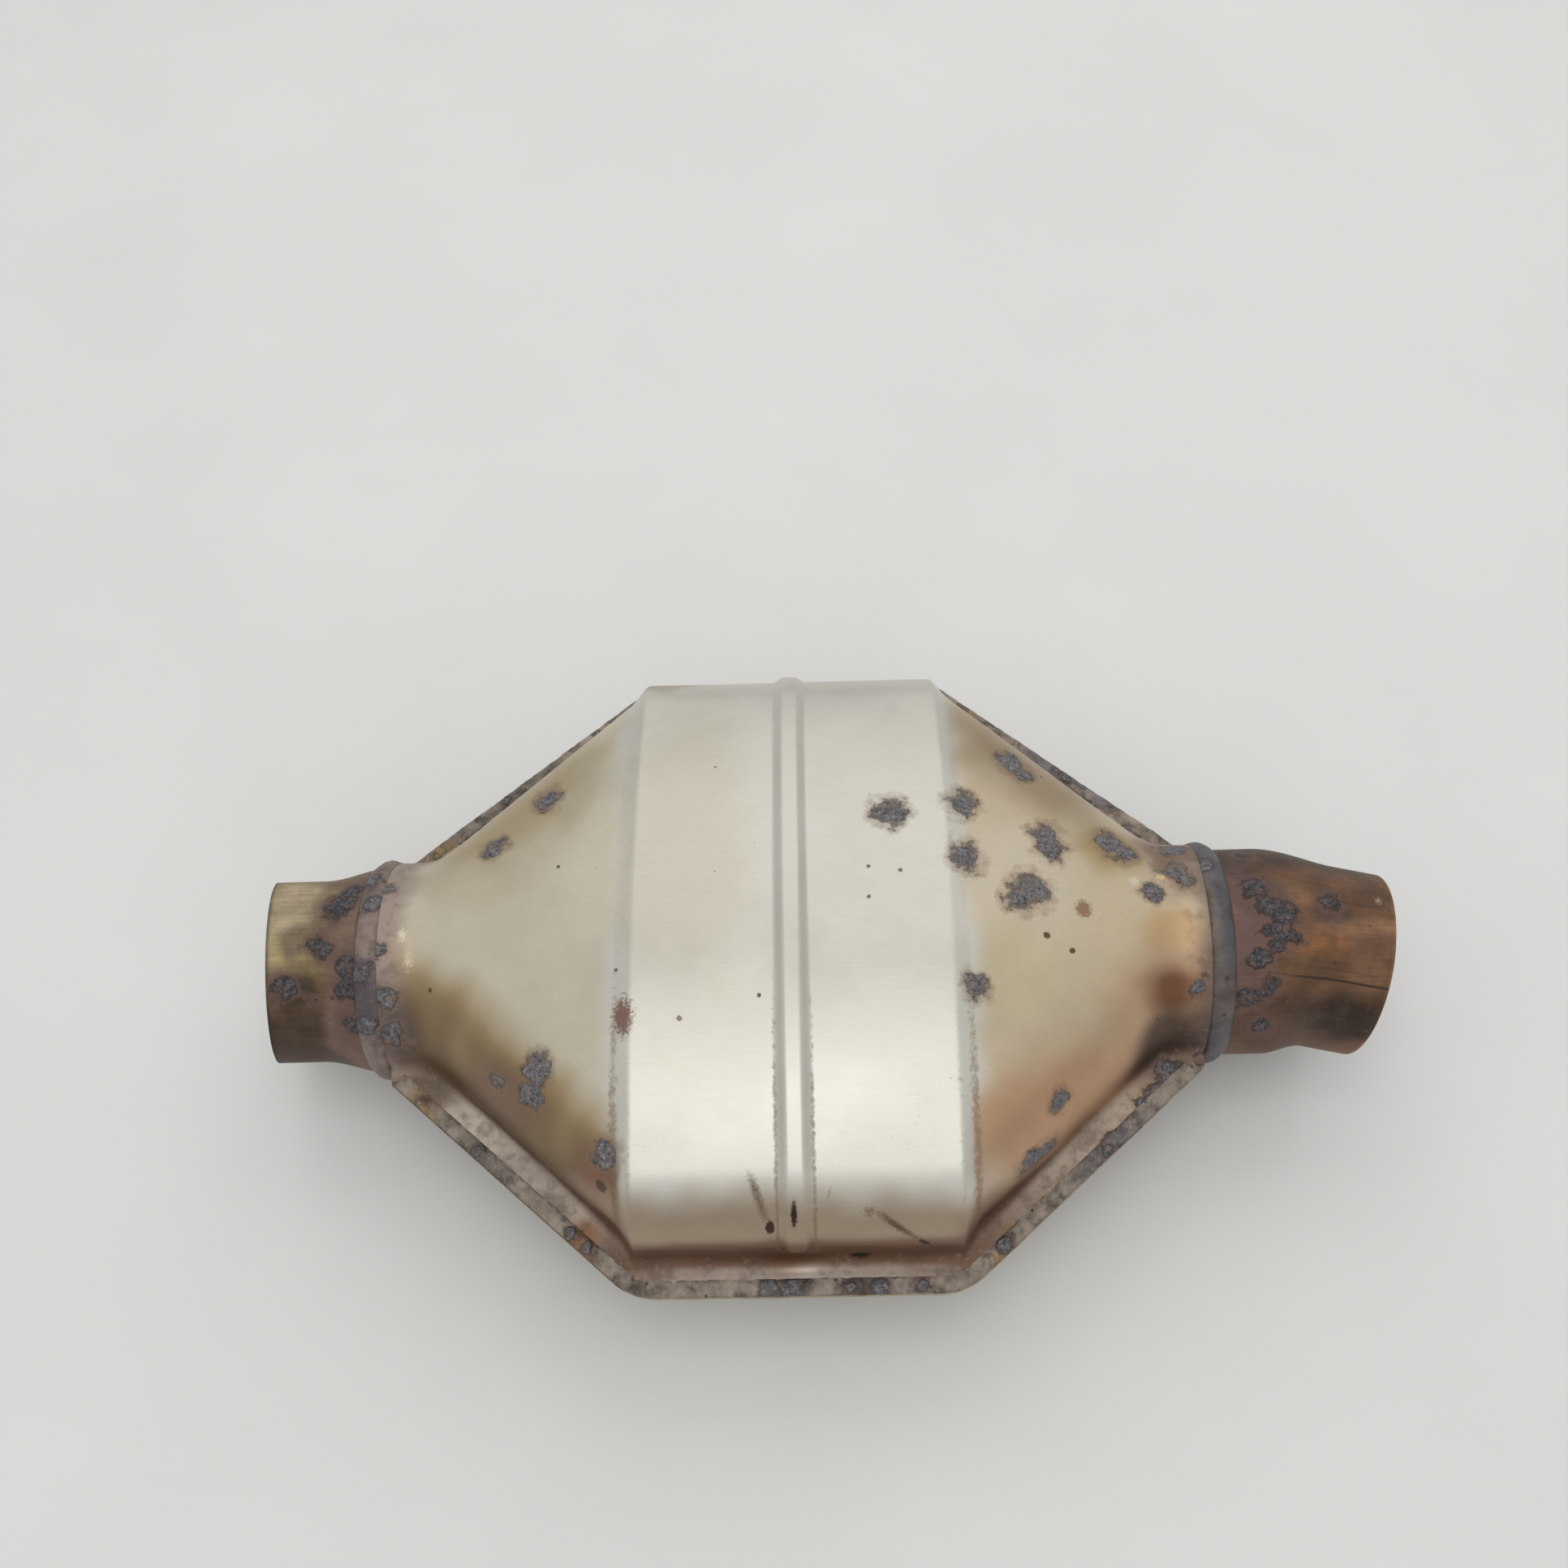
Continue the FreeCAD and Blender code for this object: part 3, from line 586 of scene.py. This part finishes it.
spotMarks = [
    spot((-0.6, -87, 26.8), (1.1, 4.5, 5.6), "#2c1d15", 0.95, core=0.5, ragged=0.9),
    spot((-10, -82, 26.5), (1.9, 10.5, 2.2), "#6e5844", turn=(41, 0, 23), core=0.2, ragged=0.8),
    spot((-7.2, -88, 20.6), (1.4, 2.6, 2.6), "#33241a", 0.95),
    spot((27.5, -88.2, 20.2), (10.5, 2.4, 1.4), "#5f4a38", turn=(0, 35, -21), core=0.2, ragged=1.2),
    spot((19.5, -85.5, 24.5), (2.2, 2.2, 1.9), "#6e5843", 0.6, ragged=2.4, core=0.1),
    spot((34.5, -90.6, 14.6), (2.2, 2, 0.9), "#35271c", turn=(0, 35, -21)),
    spot((9.5, -80, 30), (0.7, 6, 0.9), "#8d7a62", 0.7, turn=(41, 0, -20), core=0.3),
    spot((17.1, -92.6, 5.2), (3.4, 3, 2), "#2a1f1a", 0.95),
    spot((-46.6, -35, 41), (3.6, 6.5, 4.5), "#7c5b4d", ragged=1.6, core=0.5),
    spot((83.3, -3.1, 37), (2.8, 3.4, 2.8), "#7c5434", 0.75, core=0.5, ragged=1.2),
    spot((-53.1, -76.6, 22.7), (2.2, 2.2, 2.2), "#4d3d30", 0.85),
    spot((72, -12, 39), (1.2, 1.2, 1.2), "#4a3828"),
    spot((79, -16, 37), (1, 1, 1.2), "#4a3828"),
    spot((49, -77, 21), (1.3, 2, 2.4), "#3c281c"),
    spot((99.5, 7, 33.5), (2.4, 2, 2.2), "#ddd3c0", 0.85, ragged=2.2, core=0.2),
    spot((107.5, 9.5, 31.5), (2.2, 1.8, 2), "#e2cf9a", 0.85, ragged=2.2, core=0.2),
    spot((-112.5, -4, 32.3), (1.9, 2.6, 2.4), "#e0d6c2", 0.85, ragged=2.8, core=0.1),
    spot((-110.5, -12, 31), (1.8, 3.6, 2.6), "#d8cbb0", 0.8, ragged=3, core=0.1),
    spot((-9, -30, 43), (0.9, 0.9, 1.2), "#4c3a28"),
    spot((-31, -36, 42), (1, 1, 1.2), "#6d573c", 0.8),
]
halfShell("upperSheet", True, oxideSteel("heatTintedStainlessUpper", sheetLook, spotMarks), upperTint, upperCrusts)
lowerTint = {"ground": "#b9ad97", "patches": upperTint["patches"][3:6] + upperTint["patches"][10:12] + [
    cloud((-80, 0, -32), (46, 70, 40), "#8f7a58"),
    cloud((84, 0, -32), (46, 70, 40), "#8a6b4c"),
    cloud((0, 0, -2), (150, 120, 4), "#85796c", 0.9),
    cloud((118, 0, -16), (12, 60, 50), "#6b5a58"),
    cloud((-118, 0, -16), (12, 60, 50), "#75655e"),
]}
lowerCrusts = [(-70, -30, -36, 5), (20, 40, -42, 4.5), (62, -20, -40, 6), (88, 24, -33, 5), (-40, 62, -38, 4),
               (34, -50, -41, 5), (-96, 8, -34, 4.6), (104, -6, -33, 5), (-15, -20, -44, 3.6)]
halfShell("lowerSheet", False, oxideSteel("heatTintedStainlessLower", sheetLook), lowerTint, lowerCrusts)


# pipe stubs: swaged tube, wide in the neck and parallel at the open end; mm and radians
pipe = {
    "wideRadius": 30.85, "endRadius": 27.5, "wall": 1.5, "innerEnd": 109.0, "neckMouth": 124.0,
    "inletWide": 3.0, "inletTaper": 16.5, "inletEnd": 14.5,
    "outletWide": 15.0, "outletTaper": 19.0, "outletEnd": 13.5,
    "cutLean": math.radians(8.3), "cutSwing": math.radians(5),
    "bend": math.radians(12.6), "bendPlane": math.radians(45),
    "around": 144, "rim": 0.35, "unevenness": 0.10,
    "sootKeeps": 0.25, "sootColour": "#4a4038", "sootShare": 0.5,
}
pipeLook = dict(
    sheetLook, broadGrain=13, edgeGrain=6, lineStretch=(26, 1, 1), lineGrain=0.9, lineDepth=0.16, cloudDepth=0.30,
    ragged=1.5, dirtAndShadeColour="#3a2a1e", grimeShare=0.4, frostColour="#84705f", pepperFrom=0.68, pitShare=0.35,
    pitSpacing=6, haloShare=0.75, haloColour="#6e554d", sheen=0.44, metal=0.55, skin=0.5, skinFine=0.9,
    scabColours=[(0.38, "#2f2b2c"), (0.50, "#4c484b"), (0.60, "#6a676b"), (0.72, "#928d8c")])


def pipeShape(name, place, across, radii, rimShift, material, stands, tint, crusts, rimShade, cut=None):
    # a tube carried along its axis: rings of the outer wall, round the rim, and back along the inner wall
    turn = np.linspace(0, 2 * math.pi, pipe["around"], endpoint=False)
    spoke = across[:, None, 0] * np.cos(turn)[None, :, None] + across[:, None, 1] * np.sin(turn)[None, :, None]
    walls = []
    for inset, order in ((0.0, 1), (pipe["wall"], -1)):
        wall = place[:, None] + spoke * (radii - inset)[:, None, None]
        wall += spoke * (pipe["unevenness"] * waves(wall, 30, 21))[..., None]
        walls.append((cut(wall) if cut else wall)[::order])
    rim = (walls[0][-1] + walls[1][0]) / 2 + rimShift * pipe["rim"]
    loops = np.concatenate([walls[0], rim[None], walls[1]])
    rows, columns = loops.shape[:2]
    points = loops.reshape(-1, 3)
    edge = len(walls[0])
    colours = heatTintAndShade(points, tint, 31).reshape(rows, columns, 3)
    colours[edge - 1:edge + 2] *= rimShade
    colours[edge + 2:] = colours[edge + 2:] * pipe["sootKeeps"] + toLinear(pipe["sootColour"]) * pipe["sootShare"]
    makePiece(name, loops, gridQuads(rows, columns, True), material, stands, 40,
              {"tint": colours.reshape(-1, 3), "crust": crustField(points, crusts),
               "dirtAndCreaseShade": np.zeros(len(points)), "worn": np.full(len(points), 0.7)})


def inletStub():
    # radius eases from the wide end to the parallel end, and the saw's plane leans back at the top and to the
    # front
    wideEnd = pipe["neckMouth"] + pipe["inletWide"]
    taperEnd = wideEnd + pipe["inletTaper"]
    length = joinRuns([np.linspace(pipe["innerEnd"], wideEnd, 10), np.linspace(wideEnd, taperEnd, 18),
                       np.linspace(taperEnd, taperEnd + pipe["inletEnd"], 14)])
    share = np.clip((length - wideEnd) / pipe["inletTaper"], 0, 1)
    eased = 1 - (1 - share) ** 2.2 * (1 + 1.4 * share)
    radii = pipe["wideRadius"] + (pipe["endRadius"] - pipe["wideRadius"]) * eased
    place = np.stack([-length, 0 * length, 0 * length], axis=1)
    across = np.tile(np.array([[0, 1.0, 0], [0, 0, 1.0]]), (len(length), 1, 1))
    leanUp, leanSide = math.tan(pipe["cutLean"]) / math.cos(pipe["cutSwing"]), math.tan(pipe["cutSwing"])

    def sawn(wall):
        lean = wall[..., 2] * leanUp - wall[..., 1] * leanSide
        wall[..., 0] += lean * smooth((length - taperEnd) / pipe["inletEnd"])[:, None]
        return wall

    tint = {"ground": "#94825c", "patches": [
        cloud((-148, 10, 26), (14, 30, 16), "#bbaa8c", 0.9),
        cloud((-136, 22, 20), (10, 12, 14), "#83664c"),
        cloud((-146, -6, 28), (10, 8, 8), "#aa9a6a"),
        front((0, -12, 0), (0, -1, 0), 9, "#6d533c", 0.95),
        front((0, -22, 0), (0, -1, 0), 12, "#45352a", 0.85),
        front((-134, 0, 0), (1, 0, 0), 6, "#7d645a", 0.85, wander=0.8),
        cloud((-136, 9, 30), (9, 9, 9), "#5a4c4e"),
        cloud((-140, 0, -28), (34, 34, 14), "#5f4a36"),
        cloud((-139, -5, 28), (11, 7, 10), "#5c4d48", 0.7, wander=0.5),
        cloud((-146, -17, 21), (9, 7, 9), "#463a30", wander=0.5),
    ]}
    crusts = [
        (-133, 9, 29.4, 5.2), (-131, 14, 26, 3.6), (-139, -4, 28.4, 3.8), (-136, -6, 28.4, 3.4),
        (-148, -16, 22, 3.8), (-129.5, -12, 28, 3.6), (-130, -18, 25, 3.6), (-141, -19, 22, 2.8),
        (-129, -26, 18, 4), (-131, 26, 16, 3.4),
    ]
    steel = oxideSteel("scaledStainlessInlet", pipeLook)
    pipeShape("inletStub", place, across, radii, np.array([-1.0, 0, 0]), steel,
              ["inlet_pipe"], tint, crusts, 0.4, sawn)


def outletStub():
    # straight in the neck, then an arc that turns down and to the front while the radius eases down, then
    # straight
    bendStart = pipe["neckMouth"] + pipe["outletWide"]
    bendEnd = bendStart + pipe["outletTaper"]
    bendRadius = pipe["outletTaper"] / pipe["bend"]
    length = joinRuns([np.linspace(pipe["innerEnd"], bendStart, 14), np.linspace(bendStart, bendEnd, 20),
                       np.linspace(bendEnd, bendEnd + pipe["outletEnd"], 14)])
    share = np.clip((length - bendStart) / pipe["outletTaper"], 0, 1)
    turned = (share * pipe["bend"])[:, None]
    aside = np.array([0, -math.cos(pipe["bendPlane"]), -math.sin(pipe["bendPlane"])])
    forward = np.array([1.0, 0, 0])
    heading = np.cos(turned) * forward + np.sin(turned) * aside
    inwards = -np.sin(turned) * forward + np.cos(turned) * aside
    straight = np.minimum(length, bendStart)[:, None] * forward
    arc = bendRadius * np.sin(turned) * forward + bendRadius * (1 - np.cos(turned)) * aside
    place = straight + arc + np.clip(length - bendEnd, 0, None)[:, None] * heading
    radii = pipe["wideRadius"] + (pipe["endRadius"] - pipe["wideRadius"]) * share * share * (3 - 2 * share)
    across = np.stack([inwards, np.tile(np.cross(forward, aside), (len(length), 1))], axis=1)
    marks = [
        spot((158, -19.8, 19.8), (27, 6, 0.55), "#36251c", 0.85, ragged=0.3, core=0.4, turn=(135, 10, -7)),
        spot((154, -16.5, 22), (18, 6, 0.4), "#5a4032", 0.6, ragged=0.3, core=0.4, turn=(128, 10, -7)),
        spot((160, 3, 25.5), (15, 0.5, 6), "#54392b", 0.6, ragged=0.3, core=0.4, turn=(0, 10, -7)),
        spot((171.5, 4, 22), (1.6, 2.2, 2.2), "#c9bda8", 0.7, ragged=1.8, core=0.2),
    ]
    tint = {"ground": "#7a5840", "patches": [
        front((0, 14, 0), (0, 1, 0), 12, "#4c3a30"),
        cloud((158, 12, 24), (20, 7, 10), "#7a5842"),
        cloud((146, 4, 28), (14, 4.5, 8), "#8e6a50", 0.7),
        cloud((162, -5, 22), (22, 4.5, 10), "#a0785a"),
        cloud((150, -10, 24), (14, 4.5, 10), "#93633c", 0.9),
        cloud((158, -27, 11), (24, 12, 15), "#35261d", 0.95),
        cloud((140, -26, 4), (20, 14, 22), "#5c463a", 0.85),
        cloud((131, -8, 22), (7, 34, 30), "#6f5656", 0.85),
        cloud((152, 0, -26), (40, 36, 14), "#4f3c30", 0.85),
        front((178, 0, 8), (0.976, -0.154, -0.154), 5, "#9c7c62", 0.7, wander=0.5),
        cloud((138, -1, 29), (13, 15, 12), "#423b3e", 0.75, wander=0.5),
        cloud((157, 3, 26), (8, 7, 8), "#4c4344", 0.6, wander=0.5),
    ]}
    crusts = [
        (134, 6, 30, 4.2), (137, 1, 29.5, 5.6), (142, -3, 28.5, 5), (140, -8, 28, 5.6), (134, -15, 26, 3.6),
        (136, -21, 21, 3.4), (157, 2, 26, 4.2), (131, -25, 20, 3.6), (135, -28, 10, 4), (134, 20, 22, 3.4),
    ]
    pipeShape("outletStub", place, across, radii, heading[-1], oxideSteel("scaledStainlessOutlet", pipeLook, marks),
              ["outlet_pipe"], tint, crusts, 1.5)


inletStub()
outletStub()

# ring welds round the mouths of the necks, in mm
ring = {"onNeck": 4.2, "onPipe": 3.0, "crown": 1.55, "sunk": 0.12, "ripples": 95, "lumps": 6,
        "around": 240, "profile": 13}
weldLook = dict(
    sheetLook, broadGrain=6, lineDepth=0.05, cloudDepth=0.30, dirtAndShadeColour="#3a2c24", pitShare=0.4, pitSpacing=4,
    haloShare=0.6, haloColour="#5d5058", sheen=0.46, metal=0.45, skin=0.9, skinFine=1.6)


def ringWeld(name, side, ripple, lump, worn, tint, crusts, stands):
    # a rounded bead swept round the neck: a low arch from neck to pipe, with ripples as the torch went round
    angle = np.linspace(0, 2 * math.pi, ring["around"], endpoint=False)
    step = np.linspace(0, 1, ring["profile"])
    along = -ring["onNeck"] + (ring["onNeck"] + ring["onPipe"]) * step
    seat = np.where(along < 0, sheet["neckRadius"], pipe["wideRadius"])
    chord = sheet["neckRadius"] + (pipe["wideRadius"] - sheet["neckRadius"]) * step
    outer = np.maximum(chord + ring["crown"] * np.sin(math.pi * step) ** 0.8, seat)
    under = np.minimum(outer, seat) - ring["sunk"]
    x = side * (pipe["neckMouth"] + np.concatenate([along, along[::-1]]))[:, None] + 0 * angle
    radius = np.concatenate([outer, under[::-1]])[:, None] + 0 * angle
    plain = np.stack([x, radius * np.cos(angle), radius * np.sin(angle)], axis=-1)
    onTop = np.concatenate([np.sin(math.pi * step), np.zeros(len(step))])[:, None]
    phase = angle * ring["ripples"] + 2.2 * np.sin(angle * 3) - 2.4 * np.concatenate([step, step])[:, None] ** 2
    radius = radius + onTop * (ripple * np.sin(phase) + lump * waves(plain, ring["lumps"], 41))
    points = np.stack([x, radius * np.cos(angle), radius * np.sin(angle)], axis=-1)
    flat = points.reshape(-1, 3)
    steel = oxideSteel(name + "Scale", weldLook)
    makePiece(name, points, gridQuads(*x.shape, True), steel, stands, 60,
              {"tint": heatTintAndShade(flat, tint, 51), "crust": crustField(flat, crusts),
               "dirtAndCreaseShade": np.zeros(len(flat)), "worn": np.full(len(flat), worn)})


ringWeld("outletRing", 1, 0.05, 0.10, 0.25,
         {"ground": "#5e5c5f", "patches": [
             cloud((124, -24, 20), (8, 14, 14), "#6a5a58", 0.7),
             cloud((119.5, 0, 33), (3, 40, 30), "#7a6a5c", 0.6)]},
         [(121, 14, 30, 3)], ["outlet_ring_weld"])
ringWeld("inletRing", -1, 0.10, 0.28, 0.8,
         {"ground": "#8c7b74", "patches": [
             cloud((-124, -20, 24), (7, 14, 14), "#4b464e"), cloud((-124, 14, 28), (6, 10, 10), "#6a5a56", 0.6),
             # painted shadow: the dark line along the bead's edge beside the pipe, in the groove where bead meets
             # pipe
             front((-126.5, 0, 0), (-1, 0, 0), 1.2, "#3f3532", 0.8)]},
         [(-124, -14, 28, 4), (-122, 6, 32, 3), (-126, 16, 27, 4), (-123, -26, 18, 4)], ["inlet_ring_weld"])

# lap welds along the two sides, in mm; a lump of slag is its place along x, its width and its height
seam = {"setback": 0.25, "land": 4.6, "height": 1.72, "end": 118.5, "samples": 520, "profile": 10,
        "ripple": 0.10, "ripplePace": 3.1, "coarse": 0.30, "coarseSize": 5, "fine": 0.16, "fineSize": 2.2,
        "lift": 0.12, "sag": 0.01, "stray": 0.35, "straySize": 7, "fadeOut": 3}
seamLook = dict(
    weldLook, broadGrain=8, edgeGrain=5, cloudDepth=0.34, grimeShare=0.7, grimeColour="#3d3430",
    haloColour="#6a5a50", sheen=0.52, metal=0.35, skin=1.2, skinFine=2.0)
slag = [(-2, 5.5, 1.0), (-8, 4.0, 0.8), (14, 3.0, 0.6), (22, 4.0, 0.7), (-59, 3.0, 0.7), (-64, 2.5, 0.6),
        (34, 2.5, 0.5), (57, 3.0, 0.6), (-92, 3, 0.5), (88, 3, 0.5)]


def seamWeld(name, side, stands):
    # a bead laid along the edge of the upper flange: an arch across, whose height and width ripple along the
    # run
    x = np.linspace(-seam["end"], seam["end"], seam["samples"])
    outer = flangeEdge(x, seam["setback"])
    inner = flangeEdge(x, seam["land"])
    step = np.linspace(0, 1, seam["profile"])
    y = outer[:, None] + (inner - outer)[:, None] * step
    base = np.stack([x[:, None] + 0 * y, side * y, 0 * y], axis=-1)
    arch = np.sin(math.pi * step)
    ripple = 1 + seam["ripple"] * np.sin(x * seam["ripplePace"] + 1.5 * np.sin(x * 0.21))[:, None] * arch
    rough = 1 + seam["coarse"] * waves(base, seam["coarseSize"], 61 if side < 0 else 62)
    rough = rough + seam["fine"] * waves(base, seam["fineSize"], 63)
    bead = seam["height"] * np.sin(math.pi * (0.10 + 0.55 * step)) ** 0.75   # steep outside, low on the flange
    z = seam["lift"] + bead * ripple * (rough + (1 - rough) * step * 0.5)
    for place, width, height in slag if side < 0 else slag[3:]:
        z += height * np.exp(-((x - place) / width) ** 2)[:, None] * arch * (1 + 0.4 * waves(base, 3, 64))
    z *= smooth((seam["end"] - np.abs(x)) / seam["fadeOut"])[:, None] * 0.97 + 0.03
    stray = np.abs(seam["stray"] * waves(base, seam["straySize"], 65) * arch ** 2)
    top = np.stack([base[..., 0], side * (y - stray * (1 - step)), z], axis=-1)
    bottom = np.stack([base[..., 0], side * y, 0 * y - seam["sag"]], axis=-1)
    loops = np.concatenate([top, bottom[:, ::-1]], axis=1)
    rows, columns = loops.shape[:2]
    flat = loops.reshape(-1, 3)
    tint = {"ground": "#998c80", "patches": [
        cloud((-2, side * 100, 1), (8, 5, 6), "#2f2a33", 0.95, wander=0.4),
        cloud((18, side * 100, 1), (8, 5, 6), "#3d3638", 0.9, wander=0.4),
        cloud((-60, side * 89, 1), (7, 7, 6), "#a8703a", wander=0.5),
        cloud((57, side * 91, 1), (6, 6, 6), "#a8854e", 0.7, wander=0.5),
        cloud((-112, side * 42, 1), (9, 9, 6), "#8a6f44", 0.7, wander=0.5),
        cloud((92, side * 60, 1), (24, 20, 6), "#6f6a72", 0.7, wander=0.4),
        cloud((-92, side * 60, 1), (20, 18, 6), "#6c6a62", 0.7, wander=0.4)
    ]}
    crusts = [(place, side * float(flangeEdge(place, 2.0)), 1.5, width * 0.8) for place, width, _ in slag]
    quads = np.concatenate([gridQuads(rows, columns), endCaps(rows, columns)])
    makePiece(name, loops, quads, oxideSteel(name + "Bead", seamLook), stands, 70,
              {"tint": heatTintAndShade(flat, tint, 71), "crust": crustField(flat, crusts),
               "dirtAndCreaseShade": 0.22 + 0.2 * waves(flat, 9, 72), "worn": np.ones(len(flat))})


seamWeld("frontSeam", -1, ["front_seam_weld"])
seamWeld("rearSeam", 1, ["rear_seam_weld"])


def fibreOrScale(name, look):
    # a matt or metallic stuff in two tones, with a fine relief; grains and depth in mm
    material, add = newMaterial(name)
    place = add("TexCoord", out="Object")
    cloudy, relief = (
        add("TexNoise", {"Vector": place, "Scale": 1 / (look[grain] * mm), "Detail": detail, "Roughness": 0.6})
        for grain, detail in (("grain", 4), ("relief", 3)))
    bump = add("Bump", {"Height": relief, "Strength": look["strength"], "Distance": look["depth"] * mm})
    base = add("ValToRGB", cloudy, stops=look["stops"])
    shader = add("BsdfPrincipled", {"Base Color": base, "Metallic": look["metal"], "Roughness": look["rough"],
                                    "Normal": bump})
    add("OutputMaterial", {"Surface": shader})
    return material


# cordierite brick, 400 cells to the square inch; the cells are drawn, not cut, and their holes are painted shadow
brick = {"pitch": 1.27, "wallFrom": 0.07, "wallTo": 0.12, "holeShadow": "#120f0c", "depth": 0.6, "rough": 0.85,
         "cloud": 14, "stops": [(0.35, "#8a7456"), (0.65, "#b09a78")]}


def brickMaterial():
    # square cells with thin walls, painted shadow down the holes and brown-grey on the walls
    material, add = newMaterial("cordieriteHoneycomb")
    place = add("TexCoord", out="Object")
    parts = add("SeparateXYZ", place).node.outputs
    walls = []
    for axis in (1, 2):
        cell = add("Math", parts[axis], brick["pitch"] * mm, operation="DIVIDE")
        cell = add("Math", cell, 0.5, operation="PINGPONG")
        walls.append(add("MapRange", cell, brick["wallFrom"], brick["wallTo"], 1, 0, **eased))
    wall = add("Math", walls[0], walls[1], **largest)
    cloudy = add("TexNoise", {"Vector": place, "Scale": 1 / (brick["cloud"] * mm), "Detail": 4, "Roughness": 0.6})
    wallColour = add("ValToRGB", cloudy, stops=brick["stops"])
    base = add("Mix", {0: wall, 6: colour(brick["holeShadow"]), 7: wallColour}, **layered)
    bump = add("Bump", {"Height": wall, "Strength": 1, "Distance": brick["depth"] * mm})
    shader = add("BsdfPrincipled", {"Base Color": base, "Roughness": brick["rough"], "Normal": bump})
    add("OutputMaterial", {"Surface": shader})
    return material


# what lies inside keeps its plain shapes: one finish for each kind
matFibre = {"grain": 3, "stops": [(0.3, "#8f846a"), (0.7, "#b5ab8f")], "relief": 0.8, "strength": 0.8, "depth": 0.5,
            "metal": 0.0, "rough": 0.95}
insides = [
    (["monolith"], brickMaterial()),
    (["support_mat"], fibreOrScale("swellingMatFibre", matFibre)),
    (["inlet_mesh_seal", "outlet_mesh_seal"], fibreOrScale("knittedSteelWire", {
        "grain": 1.2, "stops": [(0.4, "#3c3833"), (0.6, "#9a938a")], "relief": 0.6, "strength": 1.0, "depth": 0.5,
        "metal": 0.8, "rough": 0.45})),
    (["inlet_inner_cone", "outlet_inner_cone"], fibreOrScale("scaledStainlessFunnel", {
        "grain": 12, "stops": [(0.3, "#3d342e"), (0.7, "#655648")], "relief": 1.0, "strength": 0.4, "depth": 0.1,
        "metal": 0.5, "rough": 0.6})),
    ([end + half + "_insulation" for end in ("inlet_", "outlet_") for half in ("upper", "lower")],
     fibreOrScale("mouldedCeramicFibre", dict(
         matFibre, grain=5, stops=[(0.3, "#d8d3c4"), (0.7, "#efece2")], relief=0.9, strength=0.7))),
]
for nodes, material in insides:
    for node in nodes:
        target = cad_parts[node]
        target.data.materials.clear()
        target.data.materials.append(material)
print("inner pieces finished")

# floor, light and camera: the floor is a plain pale sheet just under the lower bead; places are in metres
# from the middle of the can, the camera's in mm and degrees
stage = {
    "floorSide": 24.0, "floorStops": [(0.3, "#e8e8e7"), (0.7, "#ededec")], "floorCloud": 120, "floorRough": 0.7,
    "skyStops": [(0.0, "#d0d0ce"), (0.5, "#dededc"), (1.0, "#f2f2f0")], "skyHigh": 0.95, "skyStrength": 0.78,
    "lamps": [("overhead", (0.0, -0.30, 1.30), 0.75, 3.1, "#ffffff"),          # name, place, size, power, colour
              ("backFill", (0.10, 0.95, 1.05), 1.2, 2.6, "#fffdfa")],
    "camera": (9.25, -225.14, 480.52), "elevation": 59.03, "azimuth": -2.33, "roll": -3.41, "lens": 39.745,
}


def makeFloor():
    half, low = stage["floorSide"] / 2, cadBox[0].z
    shape = bpy.data.meshes.new("floor")
    corners = [(-half, -half, low), (half, -half, low), (half, half, low), (-half, half, low)]
    shape.from_pydata(corners, [], [(0, 1, 2, 3)])
    material, add = newMaterial("paleMattFloor")
    cloudy = add("TexNoise", {"Vector": add("TexCoord", out="Object"), "Scale": 1 / (stage["floorCloud"] * mm),
                              "Detail": 3, "Roughness": 0.6})
    base = add("ValToRGB", cloudy, stops=stage["floorStops"])
    shader = add("BsdfPrincipled", {"Base Color": base, "Roughness": stage["floorRough"]})
    add("OutputMaterial", {"Surface": shader})
    shape.materials.append(material)
    floor = bpy.data.objects.new("floor", shape)
    bpy.context.scene.collection.objects.link(floor)


def putAt(thing, right, up, toward, place):
    # an object looks along `toward`, with its own y up
    axes = np.stack([right, up, -toward, place], axis=1)
    thing.matrix_world = Matrix([*axes.tolist(), [0, 0, 0, 1]])
    bpy.context.scene.collection.objects.link(thing)


def makeLamps():
    centre = np.array([middle * mm, 0, 0])
    for name, at, size, power, code in stage["lamps"]:
        light = bpy.data.lights.new(name, "AREA")
        light.size = size
        light.energy = power
        light.color = toLinear(code)
        place = centre + np.array(at)
        toward = (centre - place) / np.linalg.norm(centre - place)
        right = np.cross(toward, [0, 1.0, 0.02])
        right /= np.linalg.norm(right)
        putAt(bpy.data.objects.new(name, light), right, np.cross(right, toward), toward, place)
    world = bpy.data.worlds.new("softRoom")
    bpy.context.scene.world = world
    world.use_nodes = True
    world.node_tree.nodes.clear()
    add = functools.partial(addNode, world.node_tree)
    height = add("SeparateXYZ", add("TexCoord", out="Generated"), out=2)
    rise = add("MapRange", height, 0, stage["skyHigh"], 0, 1, **eased)
    sky = add("ValToRGB", rise, stops=stage["skyStops"])
    add("OutputWorld", {"Surface": add("Background", {"Color": sky, "Strength": stage["skyStrength"]})})


def makeCamera():
    elevation, azimuth, roll = (math.radians(stage[key]) for key in ("elevation", "azimuth", "roll"))
    toward = np.array([math.sin(azimuth) * math.cos(elevation), math.cos(azimuth) * math.cos(elevation),
                       -math.sin(elevation)])
    level = np.cross(toward, [0, 0, 1.0])
    level /= np.linalg.norm(level)
    lift = np.cross(level, toward)
    data = bpy.data.cameras.new("camera")
    data.lens = stage["lens"]
    data.sensor_width = 36
    data.clip_start = 0.01
    camera = bpy.data.objects.new("camera", data)
    putAt(camera, math.cos(roll) * level + math.sin(roll) * lift, math.cos(roll) * lift - math.sin(roll) * level,
          toward, (np.array(stage["camera"]) + np.array([middle, 0, 0])) * mm)
    bpy.context.scene.camera = camera


makeFloor()
makeLamps()
makeCamera()
bpy.context.scene.view_settings.view_transform = "Standard"
print("stage ready")
